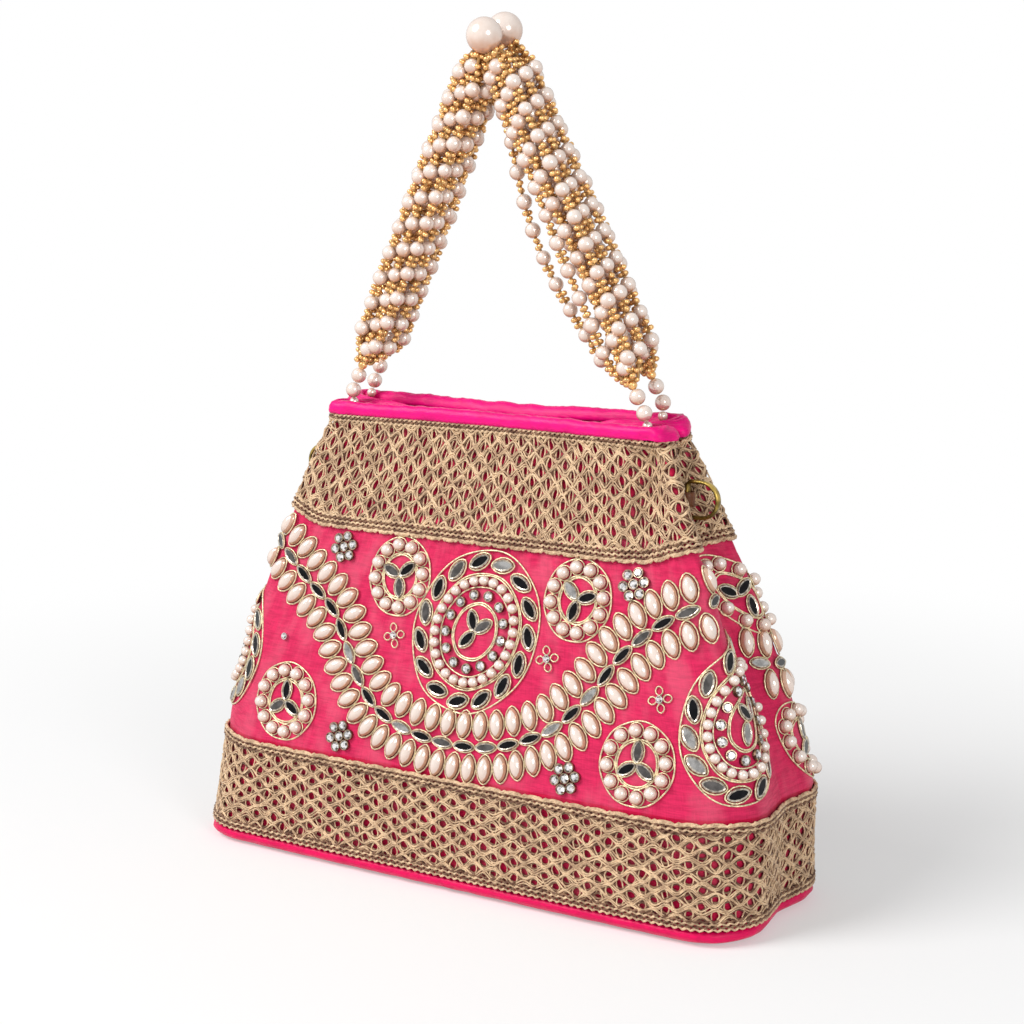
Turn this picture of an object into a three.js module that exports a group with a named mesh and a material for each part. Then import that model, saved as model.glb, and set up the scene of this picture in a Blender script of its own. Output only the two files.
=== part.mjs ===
import * as THREE from 'three';
import { mergeVertices } from 'three/addons/utils/BufferGeometryUtils.js';

// Driving dimensions in millimetres. +Z is up, the front faces -Y, and the bag stands on Z = 0.
const bodyHeight = 155.2; // floor to the top of the mouth binding
const footHalfWidthRight = 105.5; // centre line to the right side, at the floor
const footHalfWidthLeft = 108.5;
const bandHalfWidthRight = 106.5; // the same, at the top of the lower lace band
const bandHalfWidthLeft = 103;
const mouthHalfWidth = 63;
const baseHalfDepth = 36;
const mouthEndHalfDepth = 8.5;
const mouthCentreHalfDepth = 5.6;
const panelHalfWidth = 60; // front panel, centre line to its fold under the mouth
const sideTaper = 1.3; // how roundly the sides draw in towards the mouth
const footCornerRun = 10; // side to front corner, at the floor
const bandCornerRun = 18;
const mouthCornerRun = 1.5;
const bandFoldDepth = 3.5; // depth of the gusset crease at the lower band
const mouthFoldDepth = 17;
const valleyDepth = 3.5; // pleat between the front panel and the right gusset
const rearRise = 2; // how far the rear edge of the mouth stands above the front one
const lipHeight = 9; // upright part of the mouth
const bandLobeShare = 0.6; // where a gusset is widest, as a share of the half depth
const upperLobeShare = 0.8;
const mouthLobeShare = 0.36;
const cornerRounding = 9;

const clearance = 0.3;
const layerGap = 0.45; // under the lace
const liningGap = 0.4;
const silkWall = 1;
const liningWall = 0.6;
const laceThickness = 1.2;
const braidRidge = 0.5; // braided edges stand this far proud of the lace
const laceRidge = 0.3;
const basePanelHeight = 5.2;
const boardThickness = 2;
const bindingHeight = 3.3;
const bindingProud = 0.3;
const bindingInset = 2.1;
const lowerLaceFoot = 3.6;
const lowerLaceTop = 40;
const upperLaceFoot = 113;
const upperLaceSideLift = 5; // the upper lace edge rises this much on the gussets
const laceGapShare = 0.6; // size of a gap against its lace cell

const pearlHeight = 2.6;
const stoneHeight = 1.5;
const mirrorHeight = 1.1;
const backingHeight = 0.6;
const curvedSeat = 1.05; // gap under a motif that follows a rounded gusset
const garlandHalfWidth = 8.4;
const garlandPitch = 6.1; // from pearl to pearl
const garlandEdge = 0.4;
const drawnPanelHalfWidth = 60; // the embroidery's places are drawn for a panel this wide
const drawnClothHeight = 73; // and for bare cloth this tall between the lace bands

const handleBeadRadius = 2.75;
const handlePitch = 10;
const strandSpread = 4; // spacing of the strands across the handle
const strandStagger = 2.1; // strands lie alternately this far in front and behind
const handleHalfDepthGap = 0.15; // handle to the middle plane
const pivotHeight = 158.8;
const pivotDepth = 6.2;
const pivotHalfSpan = 56;
const apexHeight = 275.2;
const apexOffset = -3;
const apexPearlRadius = 5.85;
const anchorPearlRadius = 1.4;
const anchorDepth = 5.1;
const endPearlRadius = 2.6;

const ringStandoffRight = 8.754; // gusset crease to the upright bar of the D-ring
const ringStandoffLeft = 9.642;
const tabEndGap = 5.2; // gusset crease to the end of the tab
const ringHeight = 132;
const ringSpan = 12.6;
const ringReach = 11.2;
const ringStrip = 1.2;
const ringWidth = 2.6;
const tabRadius = 2.3;
const tabBore = 1.75;
const tabHeight = 5;

const snapRadius = 7;
const snapHeight = 146;
const snapFaceGap = 0.2;

const paint = {
  silk: [0xe8386e, 0.6, 0], lining: [0xd81b60, 0.8, 0], board: [0x9a8468, 0.9, 0],
  satin: [0xf5007f, 0.35, 0], panel: [0xe6005a, 0.5, 0], lace: [0xc8aa82, 0.7, 0],
  pearl: [0xf2e4d8, 0.25, 0], gold: [0xdca050, 0.3, 0.6], brass: [0xb59a52, 0.3, 1],
  mirror: [0xb8bcc2, 0.1, 0.9], stone: [0xd8dce0, 0.1, 0.3], steel: [0xc0c2c6, 0.3, 1],
};

const bag = new THREE.Group();

function clamp(value, low = 0, high = 1) {
  return Math.min(high, Math.max(low, value));
}

function mix(from, to, share) {
  return from + (to - from) * share;
}

function ease(value) {
  const t = clamp(value);
  return t * t * (3 - 2 * t);
}

function addPiece(name, finish, geometry) {
  const [color, roughness, metalness] = paint[finish];
  const material = new THREE.MeshStandardMaterial({ color, roughness, metalness });
  const mesh = new THREE.Mesh(geometry, material);
  mesh.name = name;
  bag.add(mesh);
}

// Turns lists of points and triangles into a closed solid whose faces point out.
function solid(points, triangles) {
  let volume = 0;
  for (const [a, b, c] of triangles) {
    volume += points[a].dot(new THREE.Vector3().crossVectors(points[b], points[c]));
  }
  const corners = volume > 0 ? triangles : triangles.map(([a, b, c]) => [a, c, b]);
  const geometry = new THREE.BufferGeometry().setFromPoints(points);
  geometry.setIndex(corners.flat());
  return geometry;
}

function quad(triangles, a, b, c, d) {
  triangles.push([a, b, c], [a, c, d]);
}

// Joins rings of equal length. Open ends get a fan to their middle, or the last ring meets the first.
function loft(rings, closed) {
  const points = rings.flat();
  const triangles = [];
  const count = rings[0].length;
  const spans = closed ? rings.length : rings.length - 1;
  for (let r = 0; r < spans; r += 1) {
    const low = r * count;
    const high = ((r + 1) % rings.length) * count;
    const falling = points[low].z > points[high].z; // keeps nested walls parallel
    for (let i = 0; i < count; i += 1) {
      const next = (i + 1) % count;
      if (falling) quad(triangles, low + next, high + next, high + i, low + i);
      else quad(triangles, low + i, low + next, high + next, high + i);
    }
  }
  if (!closed) {
    fan(points, triangles, rings[0], 0, true);
    fan(points, triangles, rings.at(-1), (rings.length - 1) * count, false);
  }
  return solid(points, triangles);
}

function fan(points, triangles, ring, first, reversed) {
  const middle = ring.reduce((sum, p) => sum.add(p), new THREE.Vector3()).divideScalar(ring.length);
  points.push(middle);
  const hub = points.length - 1;
  for (let i = 0; i < ring.length; i += 1) {
    const next = (i + 1) % ring.length;
    triangles.push(reversed ? [first + next, first + i, hub] : [first + i, first + next, hub]);
  }
}

// Where a line through a and b meets one through c and d, or their middle where they run alike.
function crossing([a, b], [c, d]) {
  const r = b.clone().sub(a).normalize();
  const q = d.clone().sub(c).normalize();
  const turn = r.cross(q);
  if (Math.abs(turn) < 0.05) return b.clone().lerp(c, 0.5);
  return a.clone().addScaledVector(r, c.clone().sub(a).cross(q) / turn);
}

// Moves every edge of an open outline sideways, inwards where inset is above zero.
function insetOutline(points, inset) {
  const edges = points.slice(1).map((end, i) => {
    const start = points[i];
    const way = end.clone().sub(start).normalize();
    const move = new THREE.Vector2(way.y, -way.x).multiplyScalar(inset);
    return [start.clone().add(move), end.clone().add(move)];
  });
  const inner = edges.slice(1).map((edge, i) => crossing(edges[i], edge));
  const middle = [new THREE.Vector2(0, 0), new THREE.Vector2(1, 0)];
  return [points[0].clone().setY(points[0].y - inset), ...inner, crossing(edges.at(-1), middle)];
}

// One quarter of the bag's outline at a height, from the centre line to the gusset crease.
// inset moves the outline inwards, for walls and linings.
function quarterControls(z, inset, sideX, sideY) {
  const foot = sideX > 0 ? footHalfWidthRight : footHalfWidthLeft;
  const band = sideX > 0 ? bandHalfWidthRight : bandHalfWidthLeft;
  const low = clamp(z / lowerLaceTop);
  const climb = clamp((z - lowerLaceTop) / (bodyHeight - lowerLaceTop));
  const lean = clamp((z - lowerLaceTop) / (bodyHeight - lipHeight - lowerLaceTop));
  const side = climb > 0 ? mix(band, mouthHalfWidth, climb ** sideTaper) : mix(foot, band, low);
  const cornerRun = climb > 0 ? mix(bandCornerRun, mouthCornerRun, climb) : mix(footCornerRun, bandCornerRun, low);
  const fold = mix(bandFoldDepth, mouthFoldDepth, climb);
  const depth = mix(baseHalfDepth, mouthEndHalfDepth, lean);
  const centre = depth + Math.sin(lean * Math.PI) - (mouthEndHalfDepth - mouthCentreHalfDepth) * lean ** 3;
  const closing = ease((z - bodyHeight + 2 * lipHeight) / (1.4 * lipHeight));
  const lobe = depth * mix(mix(bandLobeShare, upperLobeShare, lean), mouthLobeShare, closing);
  const pleat = sideX > 0 && sideY < 0 ? valleyDepth : valleyDepth * 0.25;
  const valley = pleat * ease(4 * (z / bodyHeight) - 2.6) * (1 - ease(12 * (z / bodyHeight) - 11));
  const panel = Math.min(panelHalfWidth, side - cornerRun - 1.2);
  const controls = [
    [0, centre], [panel * 0.5, mix(centre, depth, 0.4)], [panel - 7, depth], [panel, depth - valley],
    [side - cornerRun, depth - 0.8 * (1 - climb)], [side, lobe], [side - fold, 0],
  ].map(([x, y]) => new THREE.Vector2(x, y));
  return insetOutline(controls, inset);
}

// Follows the control points with straight runs and rounded corners. Each of the two plans gives,
// for every control point, how many points its corner takes and how many the run after it takes.
const wallPlan = { corners: [1, 1, 1, 1, 3, 3, 1], runs: [2, 2, 1, 1, 1, 2, 0] };
const finePlan = { corners: [1, 3, 3, 3, 5, 5, 1], runs: [4, 4, 2, 2, 2, 3, 0] };

function quarter(z, inset, sideX, sideY, plan) {
  const controls = quarterControls(z, inset, sideX, sideY);
  const points = [];
  let leave = controls[0];
  controls.forEach((control, i) => {
    const ends = [controls[i - 1], controls[i + 1]].map((neighbour) => {
      if (!neighbour || plan.corners[i] === 1) return control;
      const reach = Math.min(cornerRounding, control.distanceTo(neighbour) * 0.45);
      return control.clone().add(neighbour.clone().sub(control).setLength(reach));
    });
    const runPoints = i > 0 ? plan.runs[i - 1] : 1;
    for (let k = 1; k < runPoints; k += 1) points.push(leave.clone().lerp(ends[0], k / runPoints));
    const bend = new THREE.QuadraticBezierCurve(ends[0], control, ends[1]);
    const steps = plan.corners[i] - 1;
    for (let k = 0; k <= steps; k += 1) points.push(steps ? bend.getPoint(k / steps) : control.clone());
    [, leave] = ends;
  });
  return points.map((point) => new THREE.Vector2(point.x * sideX, point.y * sideY));
}

// The whole outline, anticlockwise from the middle of the front.
function outline(z, inset, plan) {
  const flip = (points) => points.slice(1).reverse();
  const keep = (points) => points.slice(0, -1);
  return [
    ...keep(quarter(z, inset, 1, -1, plan)), ...flip(quarter(z, inset, 1, 1, plan)),
    ...keep(quarter(z, inset, -1, 1, plan)), ...flip(quarter(z, inset, -1, -1, plan)),
  ];
}

function lifted(y, z) {
  return z + rearRise * ease(y / mouthEndHalfDepth) * ease((z - upperLaceFoot) / (bodyHeight - upperLaceFoot));
}

function ringAt(z, inset) {
  return outline(z, inset, wallPlan).map((p) => new THREE.Vector3(p.x, p.y, lifted(p.y, z)));
}

const wallTop = bodyHeight - bindingHeight - clearance;
const wallFoot = basePanelHeight + clearance + 0.1;
const wallLevels = [wallFoot, 22, lowerLaceTop, 60, 80, 97, upperLaceFoot, 125, 136, bodyHeight - lipHeight, wallTop];
const innerLevels = [wallFoot, lowerLaceTop, 80, upperLaceFoot, 136, bodyHeight - lipHeight, wallTop];

function buildBody() {
  const outer = wallLevels.map((z) => ringAt(z, 0));
  const inner = innerLevels.map((z) => ringAt(z, silkWall)).reverse();
  addPiece('silk_body', 'silk', loft([...outer, ...inner], true));
}

function buildLining() {
  const floor = wallFoot + boardThickness + clearance;
  const levels = [floor, ...innerLevels.slice(1)];
  const outerInset = silkWall + liningGap;
  const innerInset = outerInset + liningWall;
  const outer = levels.map((z) => ringAt(z, outerInset));
  const raised = [floor + liningWall, ...levels.slice(1)];
  const inner = raised.map((z) => ringAt(z, innerInset)).reverse();
  addPiece('lining', 'lining', loft([...outer, ...inner], false));
}

function buildBase() {
  const pillow = [[0, 10], [0.7, 4.6], [2.4, 1.3], [4, 0.4], [basePanelHeight, 0.9]];
  addPiece('base_panel', 'panel', loft(pillow.map(([z, inset]) => ringAt(z, inset)), false));
  const boardInset = silkWall + clearance;
  const board = [wallFoot, wallFoot + boardThickness].map((z) => ringAt(z, boardInset));
  addPiece('base_board', 'board', loft(board, false));
}

// A lace band is one wall with braided edges, a middle ridge and a diamond gap in every other cell.
function laceBand(name, footAt, topAt) {
  const shares = [0, 0.09, 0.5, 0.91, 1];
  const ridges = [braidRidge, 0, laceRidge, 0, braidRidge];
  const columns = outline(lowerLaceTop, 0, wallPlan).length;
  const wallPoint = (row, column, out) => {
    const probe = outline(upperLaceFoot, 0, wallPlan)[column];
    const z = mix(footAt(probe), topAt(probe), shares[row]);
    return ringAt(z, -out)[column];
  };
  const points = [];
  const triangles = [];
  const index = { outer: [], inner: [] };
  const layers = [['outer', layerGap + laceThickness], ['inner', layerGap]];
  for (const [layer, out] of layers) {
    for (let row = 0; row < shares.length; row += 1) {
      for (let column = 0; column < columns; column += 1) {
        index[layer].push(points.length);
        points.push(wallPoint(row, column, out + (layer === 'outer' ? ridges[row] : 0)));
      }
    }
  }
  const at = (layer, row, column) => index[layer][row * columns + (column % columns)];
  const cell = (layer, row, column) => [
    at(layer, row, column), at(layer, row, column + 1), at(layer, row + 1, column + 1), at(layer, row + 1, column),
  ];
  const diamond = (corners) => {
    const middle = corners.reduce((sum, i) => sum.add(points[i]), new THREE.Vector3()).divideScalar(4);
    return corners.map((corner, i) => {
      const edge = points[corner].clone().add(points[corners[(i + 1) % 4]]).multiplyScalar(0.5);
      points.push(edge.lerp(middle, 1 - laceGapShare));
      return points.length - 1;
    });
  };
  for (let row = 0; row < shares.length - 1; row += 1) {
    for (let column = 0; column < columns; column += 1) {
      const outer = cell('outer', row, column);
      const inner = cell('inner', row, column);
      const open = (row === 1 || row === 2) && (row + column) % 2 === 0;
      if (open) {
        const outerGap = diamond(outer);
        const innerGap = diamond(inner);
        for (let i = 0; i < 4; i += 1) {
          const next = (i + 1) % 4;
          triangles.push([outer[i], outer[next], outerGap[i]], [outer[next], outerGap[next], outerGap[i]]);
          triangles.push([inner[next], inner[i], innerGap[i]], [inner[next], innerGap[i], innerGap[next]]);
          quad(triangles, outerGap[i], outerGap[next], innerGap[next], innerGap[i]);
        }
      } else {
        quad(triangles, ...outer);
        quad(triangles, inner[0], inner[3], inner[2], inner[1]);
      }
    }
  }
  const topRow = shares.length - 1;
  for (let column = 0; column < columns; column += 1) {
    quad(triangles, at('inner', 0, column), at('inner', 0, column + 1), at('outer', 0, column + 1), at('outer', 0, column));
    quad(triangles, at('outer', topRow, column), at('outer', topRow, column + 1),
      at('inner', topRow, column + 1), at('inner', topRow, column));
  }
  addPiece(name, 'lace', solid(points, triangles));
}

function upperFootAt(point) {
  const beyond = (Math.abs(point.x) - panelHalfWidth) / (bandHalfWidthRight - mouthHalfWidth);
  return upperLaceFoot + upperLaceSideLift * ease(beyond * 2);
}

function buildBinding() {
  const foot = bodyHeight - bindingHeight;
  const outside = layerGap + laceThickness + bindingProud;
  const rings = [
    ringAt(foot, -outside), ringAt(bodyHeight - 0.9, 0.2 - outside),
    ringAt(bodyHeight, -0.2), ringAt(bodyHeight - 0.4, bindingInset - 0.7),
    ringAt(foot, bindingInset),
  ];
  addPiece('mouth_binding', 'satin', loft(rings, true));
}

// A point on the front or rear silk, s millimetres round from its centre line, lifted off the cloth.
const halfOutlines = new Map();

function halfOutline(sideX, sideY, z) {
  const key = `${sideX} ${sideY} ${z.toFixed(2)}`;
  if (!halfOutlines.has(key)) {
    const points = quarter(z, 0, sideX, sideY, finePlan);
    const lengths = [0];
    for (let i = 1; i < points.length; i += 1) {
      lengths.push(lengths[i - 1] + points[i].distanceTo(points[i - 1]));
    }
    halfOutlines.set(key, { points, lengths });
  }
  return halfOutlines.get(key);
}

function clothPoint(sideY, s, z) {
  const { points, lengths } = halfOutline(s < 0 ? -1 : 1, sideY, z);
  const distance = Math.min(Math.abs(s), lengths.at(-1));
  const i = Math.max(1, lengths.findIndex((length) => length >= distance));
  const share = (distance - lengths[i - 1]) / (lengths[i] - lengths[i - 1]);
  const point = points[i - 1].clone().lerp(points[i], share);
  return new THREE.Vector3(point.x, point.y, lifted(point.y, z));
}

function onCloth(sideY, s, z, lift) {
  const step = 1.5;
  const across = clothPoint(sideY, s + step, z).sub(clothPoint(sideY, s - step, z));
  const up = clothPoint(sideY, s, z + step).sub(clothPoint(sideY, s, z - step));
  const normal = across.cross(up).multiplyScalar(-sideY).normalize();
  return clothPoint(sideY, s, z).addScaledVector(normal, lift);
}

function creaseDistance(sideX, sideY, z) {
  return halfOutline(sideX, sideY, z).lengths.at(-1);
}

const widthScale = panelHalfWidth / drawnPanelHalfWidth;
const heightScale = (upperLaceFoot - lowerLaceTop) / drawnClothHeight;
const gussetMargin = 2; // embroidery stops this far from the gusset crease

// A raised round or oval motif sewn to the cloth. Each band alternates between a high and a low point,
// and place gives the distance along the cloth from its centre line and the height above the lower lace.
function medallion({ name, finish, sideY, place, size, tilt = 0, steps, bands, backShares = [1] }) {
  const s = place[0] * widthScale;
  const z = lowerLaceTop + place[1] * heightScale;
  const wide = size[0] * widthScale;
  const tall = size[1] * heightScale;
  const seat = backShares.length > 1 ? curvedSeat : clearance;
  const room = creaseDistance(Math.sign(s) || 1, sideY, z) - Math.abs(s) - gussetMargin;
  const spot = (share, step, lift) => {
    const angle = (step / steps) * 2 * Math.PI;
    const a = Math.cos(angle) * wide * share;
    const b = Math.sin(angle) * tall * share;
    let across = a * Math.cos(tilt) + b * Math.sin(tilt);
    const upward = b * Math.cos(tilt) - a * Math.sin(tilt);
    const outward = Math.sign(s) * across > 0;
    if (outward && room < wide) across *= Math.max(room, gussetMargin) / wide;
    return onCloth(sideY, s + across, z + upward, lift);
  };
  const top = bands.map(([share, high, low]) => Array.from({ length: steps }, (_, i) => (
    spot(share, i, seat + (i % 2 ? low : high)))));
  const back = backShares.map((share) => Array.from({ length: steps }, (_, i) => spot(share, i, seat)));
  const rings = [...top.reverse(), ...back];
  const points = rings.flat();
  const triangles = [];
  for (let r = 0; r < rings.length - 1; r += 1) {
    for (let i = 0; i < steps; i += 1) {
      const next = (i + 1) % steps;
      quad(triangles, r * steps + i, r * steps + next, (r + 1) * steps + next, (r + 1) * steps + i);
    }
  }
  const crown = points.length;
  points.push(spot(0, 0, seat + stoneHeight), spot(0, 0, seat));
  const last = (rings.length - 1) * steps;
  for (let i = 0; i < steps; i += 1) {
    const next = (i + 1) % steps;
    triangles.push([next, i, crown], [last + i, last + next, crown + 1]);
  }
  addPiece(name, finish, solid(points, triangles));
}

const roundBands = [
  [1, backingHeight, backingHeight], [0.84, pearlHeight, backingHeight],
  [0.66, backingHeight, backingHeight], [0.4, mirrorHeight + 0.4, backingHeight],
];
const ovalBands = [
  [1, backingHeight, backingHeight], [0.88, mirrorHeight, backingHeight], [0.77, backingHeight, backingHeight],
  [0.66, pearlHeight, backingHeight], [0.55, backingHeight, backingHeight], [0.45, stoneHeight, backingHeight],
  [0.3, backingHeight, backingHeight],
];
const flowerBands = [[1, backingHeight, backingHeight], [0.68, stoneHeight, backingHeight]];

const front = -1;
const rear = 1;

function buildMedallions() {
  const round = { finish: 'pearl', steps: 20, bands: roundBands };
  const small = { ...round, size: [11.6, 12.4] };
  const low = { ...round, size: [12.4, 12.4] };
  medallion({ ...small, name: 'front_round_motif_left', sideY: front, place: [-27, 60] });
  medallion({ ...small, name: 'front_round_motif_right', sideY: front, place: [41, 60] });
  medallion({ ...low, name: 'front_low_motif_left', sideY: front, place: [-67, 14] });
  medallion({ ...low, name: 'front_low_motif_right', sideY: front, place: [69, 14] });
  const onGusset = { sideY: rear, backShares: [1, 0.6, 0.3] };
  for (const [side, word] of [[-1, 'left'], [1, 'right']]) {
    medallion({ ...small, ...onGusset, name: `gusset_motif_${word}`, place: [side * 93, 61] });
    medallion({ ...low, ...onGusset, name: `gusset_low_motif_${word}`, place: [side * 106, 14] });
  }
  medallion({ ...small, name: 'rear_round_motif_left', sideY: rear, place: [-34, 59] });
  medallion({ ...small, name: 'rear_round_motif_right', sideY: rear, place: [34, 59] });
  const oval = { finish: 'pearl', steps: 24, bands: ovalBands, size: [22.5, 26] };
  medallion({ ...oval, name: 'front_oval_motif', sideY: front, place: [5, 46], tilt: 0.3 });
  medallion({ ...oval, name: 'rear_oval_motif', sideY: rear, place: [0, 46] });
  const corner = { ...oval, sideY: front, size: [22.5, 24], backShares: [1, 0.8, 0.6, 0.4, 0.2] };
  medallion({ ...corner, name: 'corner_oval_motif_right', place: [104, 28] });
  medallion({ ...corner, name: 'corner_oval_motif_left', place: [-104, 30] });
}

function buildFlowers() {
  const flower = { finish: 'stone', sideY: front, size: [5.2, 5.2], steps: 12, bands: flowerBands };
  medallion({ ...flower, name: 'stone_flower_upper_left', place: [-51, 67] });
  medallion({ ...flower, name: 'stone_flower_upper_right', place: [60, 66.8] });
  medallion({ ...flower, name: 'stone_flower_lower_left', place: [-42.5, 6] });
  medallion({ ...flower, name: 'stone_flower_lower_right', place: [45, 6] });
}

// The garland is a strip of pearls on both sides of a line of small mirrors. Two rows of points run
// over each pearl and one between it and the next.
function garland(name, sideY, route) {
  const places = route.map(([s, up]) => new THREE.Vector3(s * widthScale, lowerLaceTop + up * heightScale, 0));
  const path = new THREE.CatmullRomCurve3(places);
  const rowsPerPearl = 3;
  const rows = rowsPerPearl * Math.round(path.getLength() / garlandPitch) + 1;
  const halfColumns = [[1, garlandEdge, garlandEdge], [0.88, 0.85 * pearlHeight, backingHeight],
    [0.45, 0.85 * pearlHeight, backingHeight], [0.26, backingHeight, backingHeight]];
  const topColumns = [
    ...halfColumns.map(([column, high, low]) => [-column, high, low]), [0, mirrorHeight, mirrorHeight],
    ...halfColumns.toReversed(),
  ];
  const backColumns = [1, -1];
  const rings = [];
  for (let row = 0; row < rows; row += 1) {
    const share = row / (rows - 1);
    const centre = path.getPointAt(share);
    const along = path.getTangentAt(share);
    const point = (column, lift) => {
      const s = centre.x - along.y * column * garlandHalfWidth;
      const z = centre.y + along.x * column * garlandHalfWidth;
      return onCloth(sideY, s, z, curvedSeat + lift);
    };
    const top = topColumns.map(([column, high, low]) => point(column, row % rowsPerPearl ? high : low));
    const back = backColumns.map((column) => point(column, 0));
    rings.push([...top, ...back]);
  }
  addPiece(name, 'pearl', loft(rings, false));
}

function buildGarlands() {
  garland('front_garland', front, [[-80, 64.5], [-69, 58], [-52, 46], [-42, 29], [-31, 16], [-11, 9.8],
    [14, 9.8], [35, 18], [50, 32], [66, 48], [80, 58.5], [90, 62.5]]);
  garland('rear_garland', rear, [[-99, 39], [-82, 37], [-62, 30], [-40, 16], [-14, 9.8],
    [14, 9.8], [40, 16], [62, 30], [82, 37], [99, 39]]);
}

// Solid of small sections strung along a line, for beads on their thread.
function beaded(name, finish, line, beads, sides) {
  const rings = beads.map(([distance, radius]) => {
    const { position, direction } = line(distance);
    const across = new THREE.Vector3(0, 1, 0);
    const outward = new THREE.Vector3().crossVectors(direction, across).normalize();
    return Array.from({ length: sides }, (_, i) => {
      const angle = ((i + 0.5) / sides) * 2 * Math.PI;
      return position.clone().addScaledVector(outward, Math.cos(angle) * radius)
        .addScaledVector(across, Math.sin(angle) * radius);
    });
  });
  addPiece(name, finish, loft(rings, false));
}

function sphereRows(centre, radius, neck) {
  return [[-1, neck], [-0.5, 0.9], [0.5, 0.9], [1, neck]].map(([along, wide]) => (
    [centre + along * radius * 0.96, wide === neck ? neck : wide * radius]));
}

// Each handle has two legs of four strands, gathered in end pearls below and one large pearl on top.
function buildHandle(word, sideY, strandsApart) {
  const lift = sideY > 0 ? rearRise : 0;
  const apex = new THREE.Vector3(apexOffset, sideY * (apexPearlRadius + handleHalfDepthGap + 0.1), apexHeight + lift);
  const apexPearl = new THREE.SphereGeometry(apexPearlRadius, 12, 8).translate(apex.x, apex.y, apex.z);
  apexPearl.deleteAttribute('uv');
  apexPearl.deleteAttribute('normal');
  addPiece(`${word}_apex_pearl`, 'pearl', mergeVertices(apexPearl, 1e-4));
  const bundleDepth = sideY * (handleHalfDepthGap + strandStagger + handleBeadRadius);
  for (const [side, leg] of [[-1, 'left'], [1, 'right']]) {
    const foot = new THREE.Vector3(side * pivotHalfSpan, sideY * pivotDepth, pivotHeight + lift);
    const rise = apex.clone().sub(foot);
    const whole = rise.length();
    const direction = new THREE.Vector3(rise.x, 0, rise.z).normalize();
    const line = (distance) => ({
      position: foot.clone().addScaledVector(rise, distance / whole), direction,
    });
    const second = endPearlRadius * 2 + 0.4;
    const gather = second + endPearlRadius + 1.9;
    beaded(`${word}_${leg}_end_pearls`, 'pearl', line, [
      ...sphereRows(0, endPearlRadius, 0.7), ...sphereRows(second, endPearlRadius, 0.7),
      ...sphereRows(gather, 1.6, 0.7),
    ], 6);
    const anchor = new THREE.Vector3(foot.x + side * 0.6, sideY * anchorDepth,
      foot.z - endPearlRadius - anchorPearlRadius - 0.45);
    beaded(`${word}_${leg}_anchor_pearl`, 'pearl', (distance) => ({
      position: anchor.clone().setZ(anchor.z + distance), direction: new THREE.Vector3(0, 0, 1),
    }), sphereRows(0, anchorPearlRadius, 0.5), 6);
    const start = gather + 2.2;
    const end = whole - apexPearlRadius - 0.6;
    for (let strand = 0; strand < 4; strand += 1) {
      const apart = strandsApart && side > 0 && strand === 0;
      const across = (strand - 1.5) * strandSpread;
      const stagger = (strand % 2 ? 1 : -1) * strandStagger * sideY;
      const spreadAt = (distance) => (
        mix(0.4, 1, ease((distance - start) / 24)) * mix(0.4, 1, ease((end - distance) / 20)));
      const strandLine = (distance) => {
        const spread = spreadAt(distance);
        const sag = apart ? 7 * Math.sin(clamp((distance - start) / (end - start) * 1.25) * Math.PI) : 0;
        const outward = new THREE.Vector3(direction.z, 0, -direction.x);
        const depth = mix(foot.y, apex.y, distance / whole);
        const position = line(distance).position.addScaledVector(outward, across * spread - sag);
        const settled = ease((distance - start) / 30) * ease((end - distance) / 14);
        position.y = mix(depth, bundleDepth, settled) + stagger * spread;
        return { position, direction };
      };
      const count = Math.round((end - start) / handlePitch);
      const pitch = (end - start) / count;
      const beads = [[start, 0.8]];
      for (let i = 0; i < count; i += 1) {
        const middle = start + (i + 0.5) * pitch;
        beads.push([middle, handleBeadRadius * spreadAt(middle)]);
        beads.push([start + (i + 1) * pitch, 0.8]);
      }
      beaded(`${word}_${leg}_strand_${strand + 1}`, 'pearl', strandLine, beads, 4);
    }
  }
}

// D-ring with its upright bar in a fabric tab sewn into the gusset crease.
function buildRing(word, side) {
  const half = ringSpan / 2;
  const dee = (grow) => {
    const shape = new THREE.Shape();
    const inner = -ringStrip / 2 - grow;
    const height = half + grow;
    shape.moveTo(inner, -height);
    shape.lineTo(ringReach - half + 0.5, -height);
    shape.absarc(ringReach - half + 0.5, 0, height, -Math.PI / 2, Math.PI / 2, false);
    shape.lineTo(inner, height);
    shape.closePath();
    return shape;
  };
  const shape = dee(0);
  shape.holes.push(dee(-ringStrip));
  const ring = new THREE.ExtrudeGeometry(shape, { depth: ringWidth, bevelEnabled: false, curveSegments: 8 });
  ring.rotateX(Math.PI / 2).translate(0, ringWidth / 2, 0);
  if (side < 0) ring.rotateZ(Math.PI);
  const crease = quarterControls(ringHeight, 0, side, front).at(-1).x;
  const standoff = side > 0 ? ringStandoffRight : ringStandoffLeft;
  const barX = side * (crease + standoff);
  ring.translate(barX, 0, ringHeight);
  addPiece(`${word}_ring`, 'brass', closedCopy(ring));

  const tail = standoff - tabEndGap;
  const tab = new THREE.Shape();
  const turn = Math.asin(0.5 / tabRadius);
  tab.absarc(0, 0, tabRadius, -Math.PI + turn, Math.PI - turn, false);
  tab.lineTo(-tail, 0.3);
  tab.lineTo(-tail, -0.3);
  tab.closePath();
  const bore = new THREE.Path();
  bore.absarc(0, 0, tabBore, 0, 2 * Math.PI, true);
  tab.holes.push(bore);
  const loop = new THREE.ExtrudeGeometry(tab, { depth: tabHeight, bevelEnabled: false, curveSegments: 8 });
  loop.translate(0, 0, -tabHeight / 2);
  if (side < 0) loop.rotateZ(Math.PI);
  loop.translate(barX, 0, ringHeight);
  addPiece(`${word}_ring_tab`, 'satin', closedCopy(loop));
}

function closedCopy(geometry) {
  geometry.deleteAttribute('uv');
  geometry.deleteAttribute('normal');
  return mergeVertices(geometry, 1e-4);
}

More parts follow.
